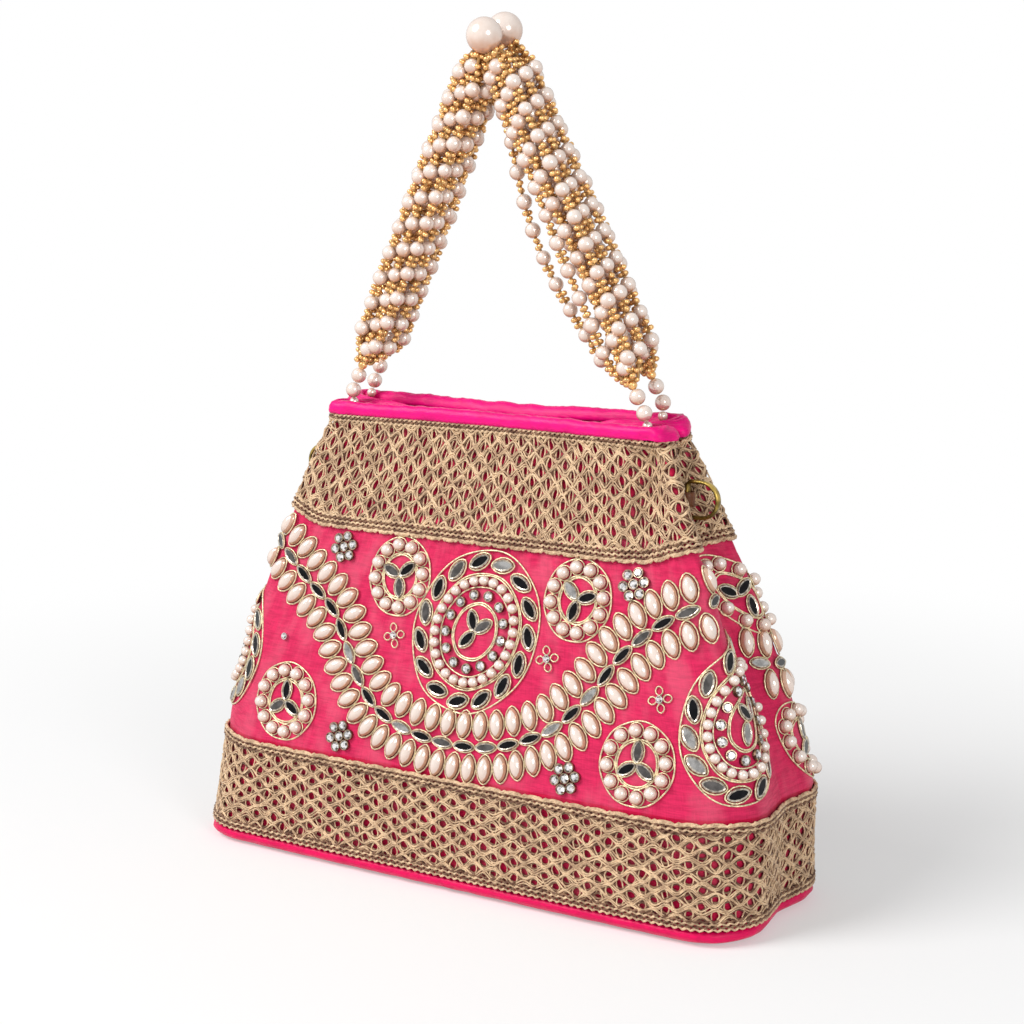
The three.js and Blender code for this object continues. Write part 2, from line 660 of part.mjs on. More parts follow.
function buildSnap() {
  const wall = mouthCentreHalfDepth - silkWall - liningGap - liningWall - clearance;
  const halfThickness = wall - snapFaceGap;
  for (const [word, sideY] of [['socket', front], ['stud', rear]]) {
    const radius = word === 'socket' ? snapRadius : snapRadius - 1;
    const disc = new THREE.CylinderGeometry(radius, radius, halfThickness, 20);
    disc.translate(0, sideY * (snapFaceGap + halfThickness / 2), snapHeight);
    addPiece(`snap_${word}`, 'steel', closedCopy(disc));
  }
}

buildBody();
buildLining();
buildBase();
laceBand('lower_lace', () => lowerLaceFoot, () => lowerLaceTop);
laceBand('upper_lace', upperFootAt, () => wallTop);
buildBinding();
buildMedallions();
buildFlowers();
buildGarlands();
buildHandle('front', front, true);
buildHandle('rear', rear, false);
buildRing('right', 1);
buildRing('left', -1);
buildSnap();

export default bag;
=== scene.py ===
import math
import random

import bmesh
import bpy
import numpy as np
from bpy.props import FloatProperty, FloatVectorProperty, PointerProperty
from mathutils import Matrix, Vector, noise


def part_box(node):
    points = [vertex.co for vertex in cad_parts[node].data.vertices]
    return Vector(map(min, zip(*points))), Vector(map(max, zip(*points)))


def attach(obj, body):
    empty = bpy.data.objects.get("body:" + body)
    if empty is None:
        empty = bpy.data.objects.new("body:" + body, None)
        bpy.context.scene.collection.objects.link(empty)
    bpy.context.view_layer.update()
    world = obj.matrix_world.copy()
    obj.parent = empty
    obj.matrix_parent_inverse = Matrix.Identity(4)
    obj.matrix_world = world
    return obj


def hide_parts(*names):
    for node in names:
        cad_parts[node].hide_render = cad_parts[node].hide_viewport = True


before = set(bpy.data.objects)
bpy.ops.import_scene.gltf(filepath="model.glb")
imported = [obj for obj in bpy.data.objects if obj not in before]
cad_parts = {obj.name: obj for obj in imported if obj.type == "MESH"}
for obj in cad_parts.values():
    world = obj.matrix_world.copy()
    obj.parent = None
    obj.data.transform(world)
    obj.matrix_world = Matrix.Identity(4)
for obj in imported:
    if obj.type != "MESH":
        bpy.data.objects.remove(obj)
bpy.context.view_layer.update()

bl_info = {
    "name": "Beaded Potli Bag",
    "version": (1, 0, 0),
    "blender": (4, 5, 0),
    "location": "3D View > Sidebar > Potli Bag",
    "description": "Builds an embroidered silk bag with lace bands and pearl handles on its packed frame",
    "category": "Object",
}

# Sizes are in millimetres, the front faces -Y, and MM turns them into Blender's metres.
MM = 0.001
FRONT = -1
REAR = 1

BODY_HEIGHT = 155.2
FOOT_RIGHT = 105.5
FOOT_LEFT = 108.5
BAND_RIGHT = 106.5
BAND_LEFT = 103.0
MOUTH_HALF_WIDTH = 63.0
BASE_HALF_DEPTH = 36.0
MOUTH_END_DEPTH = 8.5
MOUTH_CENTRE_DEPTH = 5.6
PANEL_HALF_WIDTH = 60.0
SIDE_TAPER = 1.3
FOOT_CORNER = 10.0
BAND_CORNER = 18.0
MOUTH_CORNER = 1.5
BAND_FOLD = 3.5
MOUTH_FOLD = 17.0
VALLEY_DEPTH = 7.0
REAR_RISE = 2.0
LIP_HEIGHT = 9.0
LOBE_SHARES = (0.6, 0.8, 0.36)
CORNER_ROUNDING = 9.0
BASE_HEIGHT = 5.2
SILK_WALL = 1.0
LINING_OUTSIDE = 1.45
LINING_INSIDE = 2.0
BOARD_TOP = 8.2
BINDING_HEIGHT = 3.3
BINDING_FOOT = BODY_HEIGHT - BINDING_HEIGHT
WALL_FOOT = 5.6
WALL_TOP = BINDING_FOOT - 0.3
LOWER_LACE_TOP = 40.0
LACE_FOOT = 5.7
LACE_TOP = 39.0
UPPER_LACE_FOOT = 113.0
UPPER_LACE_SIDE_LIFT = 5.0
LACE_CORD_STEP = 0.44
BRAID_STEP = 0.85
WEAVE_ROUND = 520.0
SEAM_MARGIN = 1.6
WIRE_SEAM_MARGIN = 0.6

PIVOT_HEIGHT = 158.8
PIVOT_DEPTH = 6.2
PIVOT_HALF_SPAN = 56.0
APEX_HEIGHT = 275.2
APEX_OFFSET = -3.0
APEX_RADIUS = 5.85
APEX_DEPTH = 6.1
BUNDLE_DEPTH = 5.0
END_PEARL_RADIUS = 2.6
ANCHOR_DEPTH = 5.1
ANCHOR_RADIUS = 1.6
ANCHOR_GAP = 1.6
STRANDS_START = 11.0
STRANDS_END_GAP = 0.2
THREAD_RADIUS = 0.6
RING_BAR_X = 68.5
RING_HEIGHT = 132.0
RING_SPAN = 12.6
RING_REACH = 11.2
RING_HALF_THICK = 0.6
RING_HALF_WIDE = 1.3
TAB_LOOP_RADIUS = 2.05
TAB_HALF_THICK = 0.22
SNAP_HEIGHT = 146.0

CAMERA_PLACE = (362.71, -577.02, 247.38)
CAMERA_TARGET = (2.56, 1.59, 121.06)
CAMERA_LENS = 73.48
CAMERA_SENSOR = 36
LAMP_TARGET = (0, 0, 0.12)
KEY_LAMP_PLACE = (-0.75, -1.0, 1.2)
FILL_LAMP_PLACE = (1.1, -0.7, 0.55)
WORLD_LEVEL = 0.33


def painted(code):
    """A colour written as on a paint chart, turned into Blender's linear light."""
    parts = [int(code[i:i + 2], 16) / 255 for i in (1, 3, 5)]
    return tuple(p / 12.92 if p <= 0.04045 else ((p + 0.055) / 1.055) ** 2.4 for p in parts)


def mix(start, end, share):
    return start + (end - start) * share


def mixed(first, second, share):
    return tuple(mix(a, b, share) for a, b in zip(first, second))


def clamp(value, low=0.0, high=1.0):
    return min(high, max(low, value))


def shade(colour, factor):
    return tuple(clamp(c * factor) for c in colour)


def ease(value):
    """0 below 0, 1 above 1 and a smooth step between them."""
    t = clamp(value)
    return t * t * (3 - 2 * t)


def eased(values):
    """The same smooth step for a whole array."""
    t = np.clip(values, 0, 1)
    return t * t * (3 - 2 * t)


def wander(places):
    """Smooth random offsets at places, for handwork that isn't quite even."""
    return np.array([noise.noise(Vector(place)) for place in places])


# Outline of the bag


def crossing(first, second):
    """Where two edges of an outline meet when run on, or their middle where they run alike."""
    start, end = first
    next_start, next_end = second
    way = (end - start).normalized()
    next_way = (next_end - next_start).normalized()
    turn = way.cross(next_way)
    if abs(turn) < 0.05:
        return end.lerp(next_start, 0.5)
    return start + way * ((next_start - start).cross(next_way) / turn)


def inset_outline(points, inset):
    """A quarter of the outline moved inwards, still ending on both middle lines."""
    edges = []
    for start, end in zip(points, points[1:]):
        way = (end - start).normalized()
        move = Vector((way.y, -way.x)) * inset
        edges.append((start + move, end + move))
    inner = [crossing(one, two) for one, two in zip(edges, edges[1:])]
    middle = (Vector((0, 0)), Vector((1, 0)))
    return [Vector((points[0].x, points[0].y - inset)), *inner, crossing(edges[-1], middle)]


def quarter_controls(z, inset, side_x, side_y):
    """One quarter of the outline at a height, from the centre line to the gusset crease."""
    foot = FOOT_RIGHT if side_x > 0 else FOOT_LEFT
    band = BAND_RIGHT if side_x > 0 else BAND_LEFT
    low = clamp(z / LOWER_LACE_TOP)
    climb = clamp((z - LOWER_LACE_TOP) / (BODY_HEIGHT - LOWER_LACE_TOP))
    lean = clamp((z - LOWER_LACE_TOP) / (BODY_HEIGHT - LIP_HEIGHT - LOWER_LACE_TOP))
    if climb > 0:
        side = mix(band, MOUTH_HALF_WIDTH, climb ** SIDE_TAPER)
        corner = mix(BAND_CORNER, MOUTH_CORNER, climb)
    else:
        side = mix(foot, band, low)
        corner = mix(FOOT_CORNER, BAND_CORNER, low)
    fold = mix(BAND_FOLD, MOUTH_FOLD, climb)
    depth = mix(BASE_HALF_DEPTH, MOUTH_END_DEPTH, lean)
    centre = depth + math.sin(lean * math.pi) - (MOUTH_END_DEPTH - MOUTH_CENTRE_DEPTH) * lean ** 3
    closing = ease((z - BODY_HEIGHT + 2 * LIP_HEIGHT) / (1.4 * LIP_HEIGHT))
    low_lobe, high_lobe, mouth_lobe = LOBE_SHARES
    lobe = depth * mix(mix(low_lobe, high_lobe, lean), mouth_lobe, closing)
    pleat = VALLEY_DEPTH if side_x > 0 and side_y < 0 else VALLEY_DEPTH * 0.15
    height = z / BODY_HEIGHT
    valley = pleat * ease(4 * height - 2.6) * (1 - ease(12 * height - 11))
    panel = min(PANEL_HALF_WIDTH, side - corner - 1.2)
    controls = [
        (0, centre), (panel / 2, mix(centre, depth, 0.4)), (panel - 7, depth), (panel, depth - valley),
        (side - corner, depth - 0.8 * (1 - climb)), (side, lobe), (side - fold, 0),
    ]
    return inset_outline([Vector(c) for c in controls], inset)


def quarter_points(z, inset, side_x, side_y, count):
    """The quarter with its corners rounded, as evenly spaced points and their length."""
    controls = quarter_controls(z, inset, side_x, side_y)
    route = [controls[0]]
    for before, corner, after in zip(controls, controls[1:], controls[2:]):
        ends = []
        for neighbour in (before, after):
            reach = min(CORNER_ROUNDING, (neighbour - corner).length * 0.45)
            ends.append(corner + (neighbour - corner).normalized() * reach)
        for step in range(9):
            t = step / 8
            route.append(ends[0] * (1 - t) ** 2 + corner * 2 * t * (1 - t) + ends[1] * t * t)
    route.append(controls[-1])
    line = np.array([(p.x * side_x, p.y * side_y) for p in route])
    lengths = np.concatenate([[0], np.cumsum(np.hypot(*np.diff(line, axis=0).T))])
    shares = np.linspace(0, lengths[-1], count + 1)
    even = np.stack([np.interp(shares, lengths, line[:, k]) for k in (0, 1)], axis=1)
    return even, lengths[-1]


def outline_ring(z, inset, columns):
    """Closed ring round the bag from the middle of the front, rightwards, and its quarters' lengths."""
    right_front, first = quarter_points(z, inset, 1, FRONT, columns)
    right_rear, second = quarter_points(z, inset, 1, REAR, columns)
    left_rear, third = quarter_points(z, inset, -1, REAR, columns)
    left_front, fourth = quarter_points(z, inset, -1, FRONT, columns)
    ring = np.concatenate([right_front[:-1], right_rear[:0:-1], left_rear[:-1], left_front[:0:-1]])
    share = eased((z - UPPER_LACE_FOOT) / (BODY_HEIGHT - UPPER_LACE_FOOT))
    heights = z + REAR_RISE * eased(ring[:, 1] / MOUTH_END_DEPTH) * share
    return np.column_stack([ring, heights]), (first, second, third, fourth)


class Cloth:
    """The bag's outer face as a grid. turn runs 0 to 4 round it: front, right, rear, left."""

    COLUMNS = 240

    def __init__(self):
        self.levels = np.linspace(0, BODY_HEIGHT, 156)
        rings = [outline_ring(z, 0, self.COLUMNS) for z in self.levels]
        self.points = np.array([ring for ring, _ in rings])
        self.lengths = np.array([lengths for _, lengths in rings])
        across = np.roll(self.points, -1, axis=1) - np.roll(self.points, 1, axis=1)
        upward = np.gradient(self.points, axis=0)
        normals = np.cross(across, upward)
        self.normals = normals / np.linalg.norm(normals, axis=2, keepdims=True)

    def read(self, grid, turn, z):
        """Grid values at any turn and height, blended from the four nearest points."""
        top_row = len(self.levels) - 1
        row = np.clip(np.asarray(z, float) / BODY_HEIGHT * top_row, 0, top_row - 0.001)
        column = np.mod(np.asarray(turn, float), 4) * self.COLUMNS
        below = row.astype(int)
        before = column.astype(int)
        up = (row - below)[..., None]
        on = (column - before)[..., None]
        count = 4 * self.COLUMNS
        here = before % count
        after = (before + 1) % count
        low = grid[below, here] * (1 - on) + grid[below, after] * on
        high = grid[below + 1, here] * (1 - on) + grid[below + 1, after] * on
        return low * (1 - up) + high * up

    def at(self, turn, z, lift):
        """Points on the cloth in millimetres, lifted off it."""
        lift = np.asarray(lift, float)[..., None]
        return self.read(self.points, turn, z) + self.read(self.normals, turn, z) * lift

    def quarter_length(self, quarter, z):
        return float(np.interp(z, self.levels, self.lengths[:, quarter]))

    def turn_of(self, side_y, s, z):
        """The turn at s millimetres along the cloth from the middle of the front or the rear."""
        if side_y < 0:
            quarters = (0, 1) if s >= 0 else (3, 2)
        else:
            quarters = (1, 0) if s >= 0 else (2, 3)
        near = self.quarter_length(quarters[0], z)
        distance = abs(s)
        share = distance / near
        if distance > near:
            share = 1 + (distance - near) / self.quarter_length(quarters[1], z)
        start = 0 if side_y < 0 else 2
        way = 1 if (s >= 0) == (side_y < 0) else -1
        return (start + way * share) % 4

    def crease(self, side_y, s, z):
        """Millimetres along the cloth from the middle of a face to its gusset crease."""
        if side_y < 0:
            quarter = 0 if s >= 0 else 3
        else:
            quarter = 1 if s >= 0 else 2
        return self.quarter_length(quarter, z)

    def place(self, side_y, s, z, lift=0.0):
        """The same place in metres, from the middle of a face."""
        return Vector(self.at(self.turn_of(side_y, s, z), z, lift)) * MM

    def seat(self, side_y, s, z, angle=0.0, lift=0.0):
        """Matrix of a small piece on the cloth: X along the cloth turned by angle, Z off it."""
        step = 1.0
        across = self.place(side_y, s + step, z) - self.place(side_y, s - step, z)
        upward = self.place(side_y, s, z + step) - self.place(side_y, s, z - step)
        across *= -side_y
        normal = across.cross(upward).normalized()
        along = across.normalized() * math.cos(angle) * -side_y
        upright = normal.cross(across.normalized()).normalized()
        along = (along + upright * math.sin(angle)).normalized()
        sideways = normal.cross(along).normalized()
        place = self.place(side_y, s, z, lift)
        turned = Matrix((along, sideways, normal)).transposed().to_4x4()
        turned.translation = place
        return turned


cloth = Cloth()


# Materials


class Value:
    """A number that changes over a surface. Python's own signs add the Math nodes."""

    def __init__(self, nodes, socket):
        self.nodes = nodes
        self.socket = socket

    def math(self, operation, first, second):
        node = self.nodes.node("ShaderNodeMath", {"operation": operation}, {0: first, 1: second})
        return Value(self.nodes, node.outputs[0])

    def __add__(self, other):
        return self.math("ADD", self, other)

    __radd__ = __add__

    def __rsub__(self, other):
        return self.math("SUBTRACT", other, self)

    def __mul__(self, other):
        return self.math("MULTIPLY", self, other)

    def between(self, low, high):
        """0 below low, 1 above high and a smooth step between them."""
        settings = {"interpolation_type": "SMOOTHSTEP"}
        inputs = {"Value": self, "From Min": low, "From Max": high}
        return Value(self.nodes, self.nodes.node("ShaderNodeMapRange", settings, inputs).outputs[0])


class Nodes:
    """A node tree, and the one way in which its nodes are made."""

    def __init__(self, tree):
        self.tree = tree
        tree.nodes.clear()

    def node(self, kind, settings=None, inputs=None):
        made = self.tree.nodes.new(kind)
        for key, value in (settings or {}).items():
            setattr(made, key, value)
        for key, value in (inputs or {}).items():
            self.feed(made.inputs[key], value)
        return made

    def feed(self, socket, value):
        if isinstance(value, Value):
            value = value.socket
        if isinstance(value, bpy.types.NodeSocket):
            self.tree.links.new(value, socket)
            return
        if socket.type == "RGBA" and len(value) == 3:
            value = (*value, 1)
        socket.default_value = value

    def seen_directly(self):
        """1 for rays from the camera, from gloss and through glass, 0 for soft light."""
        rays = self.node("ShaderNodeLightPath")
        seen = Value(self, rays.outputs["Is Camera Ray"])
        for kind in ("Is Glossy Ray", "Is Transmission Ray"):
            seen = seen.math("MAXIMUM", seen, Value(self, rays.outputs[kind]))
        return seen


def socket_name(word):
    """A shader socket's name, such as Coat Weight for coat_weight."""
    return word.replace("_", " ").title().replace("Ior", "IOR")


class Recipe(Nodes):
    """One material: its shader and the nodes that vary it."""

    def __init__(self, name, **constants):
        self.material = bpy.data.materials.new(name)
        self.material.use_nodes = True
        super().__init__(self.material.node_tree)
        named = {socket_name(word): value for word, value in constants.items()}
        self.shader = self.node("ShaderNodeBsdfPrincipled", {}, named)
        self.output = self.node("ShaderNodeOutputMaterial", {}, {"Surface": self.shader.outputs[0]})

    def set(self, **sockets):
        for word, value in sockets.items():
            self.feed(self.shader.inputs[socket_name(word)], value)

    def object_place(self, stretch=(1, 1, 1)):
        place = self.node("ShaderNodeTexCoord").outputs["Object"]
        return self.stretched(place, stretch)

    def cloth_place(self, stretch=(1, 1, 1)):
        return self.stretched(self.node("ShaderNodeUVMap", {"uv_map": "weave"}).outputs[0], stretch)

    def stretched(self, place, stretch):
        inputs = {0: place, 1: stretch}
        return self.node("ShaderNodeVectorMath", {"operation": "MULTIPLY"}, inputs).outputs[0]

    def noise(self, place, scale, detail=2.0, roughness=0.5):
        inputs = {"Vector": place, "Scale": scale, "Detail": detail, "Roughness": roughness}
        return Value(self, self.node("ShaderNodeTexNoise", {}, inputs).outputs[0])

    def blend(self, first, second, factor):
        node = self.node("ShaderNodeMix", {"data_type": "RGBA"}, {0: factor, 6: first, 7: second})
        return node.outputs[2]

    def bump(self, height, distance):
        inputs = {"Height": height, "Distance": distance}
        self.feed(self.shader.inputs["Normal"], self.node("ShaderNodeBump", {}, inputs).outputs[0])


def silk_finish(name, colour, dark):
    """Slubby dupion silk: fine crossing threads, some thicker ones and soft paler patches of painted sheen.
    """
    made = Recipe(name, roughness=0.62, sheen_weight=0.1, sheen_roughness=0.5, specular_ior_level=0.14)
    upright = made.noise(made.cloth_place((3200, 160, 1)), 1.0, 2.0)
    level = made.noise(made.cloth_place((140, 2600, 1)), 1.0, 2.0)
    slub = made.noise(made.cloth_place((260, 1500, 1)), 0.6, 3.0, 0.6)
    patch = made.noise(made.cloth_place((90, 45, 1)), 1.0, 3.0)
    thread = upright * 0.5 + level * 0.5
    tone = (thread * 0.5 + slub * 0.5).between(0.38, 0.6)
    woven = made.blend(dark, colour, tone)
    # Painted sheen: paler pink patches where the silk would catch the light.
    sheen_pink = mixed(colour, (1.0, 0.55, 0.62), 0.3)
    sheened = made.blend(woven, sheen_pink, patch.between(0.42, 0.68) * 0.28)
    made.set(base_color=sheened, roughness=0.7 - tone * 0.18)
    made.bump(thread * 0.6 + slub * 0.8, 0.0003)
    return made.material


def satin_finish(name, colour):
    """Glossy satin with fine ribs along the cloth and small dents from the stitching."""
    made = Recipe(name, roughness=0.42, sheen_weight=0.1, sheen_roughness=0.35, specular_ior_level=0.22)
    rib = made.noise(made.object_place((500, 500, 2600)), 1.0, 2.0)
    dent = made.noise(made.object_place(), 160, 2.0)
    tone = (rib * 0.5 + dent * 0.5).between(0.38, 0.62)
    made.set(base_color=made.blend(shade(colour, 0.8), colour, tone), roughness=0.5 - dent * 0.16)
    made.bump(rib * 0.3 + dent * 1.1, 0.0003)
    return made.material


def lace_finish(name, pale, dark):
    """Twisted champagne cord: pale threads that are partly painted highlight, and brown painted shade in
    the twists.
    """
    made = Recipe(name, roughness=0.45, sheen_weight=0.1, specular_ior_level=0.35)
    twist = made.noise(made.object_place((1, 1, 1.4)), 1100, 2.0, 0.6)
    patch = made.noise(made.object_place(), 300, 2.0)
    tone = (twist * 0.4 + patch * 0.6).between(0.38, 0.62)
    made.set(base_color=made.blend(dark, pale, tone), roughness=0.6 - tone * 0.25)
    made.bump(twist, 0.0003)
    return made.material


def pearl_finish(name, colour, pearl_shade):
    """Imitation pearl under a clear lacquer: painted shade makes it creamy above and peach below."""
    made = Recipe(name, metallic=0.36, coat_weight=0.4, coat_roughness=0.03,
                  specular_tint=(0.42, 0.3, 0.25, 1))
    drift = made.noise(made.object_place(), 170, 1.0)
    swirl = made.noise(made.object_place(), 900, 1.0)
    # Painted shade: the tone follows which way the surface faces, cream on top and peach below, with a
    # little random tone.
    normal = made.node("ShaderNodeTexCoord").outputs["Normal"]
    upright = Value(made, made.node("ShaderNodeSeparateXYZ", {}, {0: normal}).outputs["Z"])
    tone = upright.between(-0.95, 0.3) * 0.8 + (drift * 0.8 + swirl * 0.2).between(0.3, 0.6) * 0.2
    made.set(base_color=made.blend(pearl_shade, colour, tone), roughness=0.2 - swirl * 0.08)
    return made.material


def metal_finish(name, bright, dark, roughness, grain, relief=0.00008, metallic=1.0):
    """Worn metal: darker in its dents, brighter where it is rubbed."""
    made = Recipe(name, metallic=metallic, specular_ior_level=0.9)
    wear = made.noise(made.object_place(), grain, 3.0, 0.6)
    tone = wear.between(0.35, 0.62)
    made.set(base_color=made.blend(dark, bright, tone), roughness=roughness + 0.15 - tone * 0.15)
    made.bump(wear, relief)
    return made.material


def mirror_finish(name, colour, haze):
    """Small cut mirror whose colour is a painted reflection of what it faces, with scratches and a trace of
    haze.
    """
    made = Recipe(name, metallic=0.95, coat_weight=0.08, coat_roughness=0.04)
    film = made.noise(made.object_place(), 420, 3.0)
    scratch = made.noise(made.object_place((2600, 300, 900)), 1.0, 1.0)
    made.set(base_color=made.blend(shade(colour, 0.55), colour, film.between(0.35, 0.65)),
             roughness=haze + scratch.between(0.6, 0.8) * 0.1)
    made.bump(scratch, 0.00002)
    return made.material


def stone_finish(name, colour):
    """Clear cut stone on foil: bright facets and grey ones, painted reflections."""
    made = Recipe(name, metallic=0.8, coat_weight=0.6, coat_roughness=0.02, specular_ior_level=0.9)
    facet = made.noise(made.object_place(), 1250, 1.0)
    made.set(base_color=made.blend(shade(colour, 0.6), colour, facet.between(0.38, 0.56)),
             roughness=0.05 + facet * 0.08)
    return made.material


def board_finish(name, colour):
    made = Recipe(name, roughness=0.9)
    fibre = made.noise(made.object_place((400, 60, 60)), 3.0, 3.0)
    made.set(base_color=made.blend(shade(colour, 0.7), colour, fibre.between(0.4, 0.6)))
    made.bump(fibre, 0.0002)
    return made.material


def finishes():
    """Every material of the bag, made once and kept by name."""
    paints = bpy.context.scene.potli_colours
    if "bag_silk" in bpy.data.materials:
        return bpy.data.materials
    silk_finish("bag_silk", paints.silk, shade(paints.silk, 0.74))
    silk_finish("bag_ground_and_shade", paints.ground_and_shade, shade(paints.ground_and_shade, 0.7))
    satin_finish("bag_satin", paints.satin)
    satin_finish("bag_base", paints.base)
    # The lining is the binding satin darkened: painted shade inside the mouth.
    satin_finish("bag_lining_shaded", shade(paints.satin, 0.8))
    # The lace's darker ends are mixes towards its painted shade colour.
    lace_half_shade, lace_deep_shade = (mixed(paints.lace, paints.lace_shadow, share) for share in (0.55, 0.85))
    lace_finish("bag_lace", paints.lace, lace_half_shade)
    lace_finish("bag_lace_shaded", lace_deep_shade, shade(paints.lace_shadow, 0.6))
    # Mixes of pearl and its painted shade: cream, the peach shade and the shaded rim of the pointed pearls.
    cream, peach, rim = (mixed(paints.pearl, paints.pearl_shade, share) for share in (0.08, 0.6, 0.75))
    pearl_finish("bag_pearl", paints.pearl, paints.pearl_shade)
    pearl_finish("bag_drop_pearl", cream, peach)
    pearl_finish("bag_drop_rim", rim, shade(paints.pearl_shade, 0.85))
    metal_finish("bag_wire", paints.wire, shade(paints.wire, 0.55), 0.34, 900, metallic=0.5)
    metal_finish("bag_seed", paints.seed, shade(paints.seed, 0.6), 0.1, 700, metallic=0.6)
    # Handle thread in the seed colour darkened: painted shade in the gaps between the beads.
    satin_finish("bag_thread_shaded", shade(paints.seed, 0.5))
    # The ring tabs take the lace's painted shade colour, so they sink into the crease's shade.
    satin_finish("bag_tab_shaded", paints.lace_shadow)
    metal_finish("bag_silver", (0.82, 0.83, 0.84), (0.35, 0.34, 0.33), 0.22, 800)
    metal_finish("bag_rim", (0.58, 0.53, 0.45), (0.24, 0.2, 0.17), 0.24, 900)
    metal_finish("bag_cup", (0.4, 0.3, 0.2), (0.1, 0.07, 0.05), 0.3, 900)
    metal_finish("bag_brass", paints.brass, shade(paints.brass, 0.3), 0.3, 260, 0.0002)
    # Painted reflections: the mirrors are coloured dark, grey or pale as if reflecting what they face.
    mirror_finish("bag_mirror_dark", (0.012, 0.012, 0.014), 0.1)
    mirror_finish("bag_mirror_grey_reflection", (0.14, 0.13, 0.125), 0.12)
    mirror_finish("bag_mirror_pale_reflection", (0.45, 0.44, 0.43), 0.08)
    # Painted reflections of the stone facets: bright, grey and dark.
    stone_finish("bag_stone", (0.86, 0.85, 0.85))
    stone_finish("bag_stone_grey", (0.5, 0.47, 0.45))
    stone_finish("bag_stone_dark", (0.13, 0.11, 0.1))
    board_finish("bag_board", (0.32, 0.23, 0.13))
    return bpy.data.materials


# Building tools


def piece(name, bm, materials, body, slot, stands_for=()):
    """Turns a bmesh into a finished, smooth piece that rides on a body of the frame."""
    mesh = bpy.data.meshes.new(name)
    bm.to_mesh(mesh)
    bm.free()
    mesh.shade_smooth()
    return mesh_piece(name, mesh, materials, body, slot, stands_for)


def mesh_piece(name, mesh, materials, body, slot, stands_for=()):
    made = bpy.data.objects.new(name, mesh)
    bpy.context.scene.collection.objects.link(made)
    for material in materials:
        mesh.materials.append(finishes()[material])
    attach(made, body)
    if stands_for:
        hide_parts(*stands_for)
    return made


def lofted(rings, closed=False):
    """Skin over rings of equal length, grown ring by ring by extruding the last one."""
    bm = bmesh.new()
    verts = [bm.verts.new(p) for p in rings[0]]
    edges = [bm.edges.new((a, b)) for a, b in zip(verts, verts[1:] + verts[:1])]
    first = edges
    for ring in [*rings[1:], *([rings[0]] if closed else [])]:
        grown = bmesh.ops.extrude_edge_only(bm, edges=edges)["geom"]
        fresh = {v for v in grown if isinstance(v, bmesh.types.BMVert)}
        edges = [e for e in grown if isinstance(e, bmesh.types.BMEdge) and set(e.verts) <= fresh]
        verts = [next(e.other_vert(v) for e in v.link_edges if e.other_vert(v) in fresh) for v in verts]
        for vert, place in zip(verts, ring):
            vert.co = place
    if closed:
        bmesh.ops.remove_doubles(bm, verts=bm.verts, dist=1e-7)
    else:
        bmesh.ops.holes_fill(bm, edges=[*first, *edges], sides=0)
    bmesh.ops.recalc_face_normals(bm, faces=bm.faces)
    return bm


def ring_points(z, inset, columns):
    ring, _ = outline_ring(z, inset, columns)
    return [Vector(p) * MM for p in ring]


def tubes(lines, radius, resolution=0):
    """Round cords along lines of points, as one mesh. Each line is (points, closed)."""
    curve = bpy.data.curves.new("cords", "CURVE")
    curve.dimensions = "3D"
    curve.bevel_depth = radius
    curve.bevel_resolution = resolution
    curve.fill_mode = "FULL"
    curve.use_fill_caps = True
    for points, closed in lines:
        spline = curve.splines.new("POLY")
        spline.points.add(len(points) - 1)
        spline.points.foreach_set("co", np.column_stack([points, np.ones(len(points))]).ravel())
        spline.use_cyclic_u = closed
    holder = bpy.data.objects.new("cords", curve)
    bpy.context.scene.collection.objects.link(holder)
    depsgraph = bpy.context.evaluated_depsgraph_get()
    mesh = bpy.data.meshes.new_from_object(holder.evaluated_get(depsgraph))
    mesh.shade_smooth()
    bpy.data.objects.remove(holder)
    bpy.data.curves.remove(curve)
    return mesh


class Cluster:
    """Many small shapes fused in one bmesh. Each shape names its own materials."""

    def __init__(self):
        self.bm = bmesh.new()
        self.materials = []

    def slot_of(self, material):
        if material not in self.materials:
            self.materials.append(material)
        return self.materials.index(material)

    def add(self, shape, matrix, swaps=None):
        """shape is (mesh, its materials); swaps gives other materials for this copy."""
        mesh, materials = shape
        copy = mesh.copy()
        copy.transform(matrix)
        start = len(self.bm.faces)
        self.bm.from_mesh(copy)
        bpy.data.meshes.remove(copy)
        self.bm.faces.ensure_lookup_table()
        slots = [self.slot_of((swaps or {}).get(m, m)) for m in materials]
        for face in self.bm.faces[start:]:
            face.material_index = slots[min(face.material_index, len(slots) - 1)]

    def add_mesh(self, mesh, material):
        self.add((mesh, [material]), Matrix.Identity(4))
        bpy.data.meshes.remove(mesh)

    def finish(self, name, body, slot, stands_for=()):
        mesh = bpy.data.meshes.new(name)
        self.bm.to_mesh(mesh)
        self.bm.free()
        return mesh_piece(name, mesh, self.materials, body, slot, stands_for)


def shape_mesh(bm, smooth=True):
    mesh = bpy.data.meshes.new("shape")
    bmesh.ops.recalc_face_normals(bm, faces=bm.faces)
    for face in bm.faces:
        face.smooth = smooth
    bm.to_mesh(mesh)
    bm.free()
    return mesh


def round_pearl(radius, columns=12, rows=8, squash=1.0):
    bm = bmesh.new()
    bmesh.ops.create_uvsphere(bm, u_segments=columns, v_segments=rows, radius=radius * MM)
    bmesh.ops.scale(bm, vec=(1, 1, squash), verts=bm.verts)
    return shape_mesh(bm)


def leaf_points(length, width, steps, point=1.25):
    """A pointed oval in the plane, anticlockwise from its right tip. Below 1, point makes it round."""
    places = []
    for i in range(2 * steps):
        t = i / steps * math.pi
        pull = abs(math.sin(t)) ** point * math.copysign(1, math.sin(t))
        places.append((length / 2 * math.cos(t), width / 2 * pull))
    return places


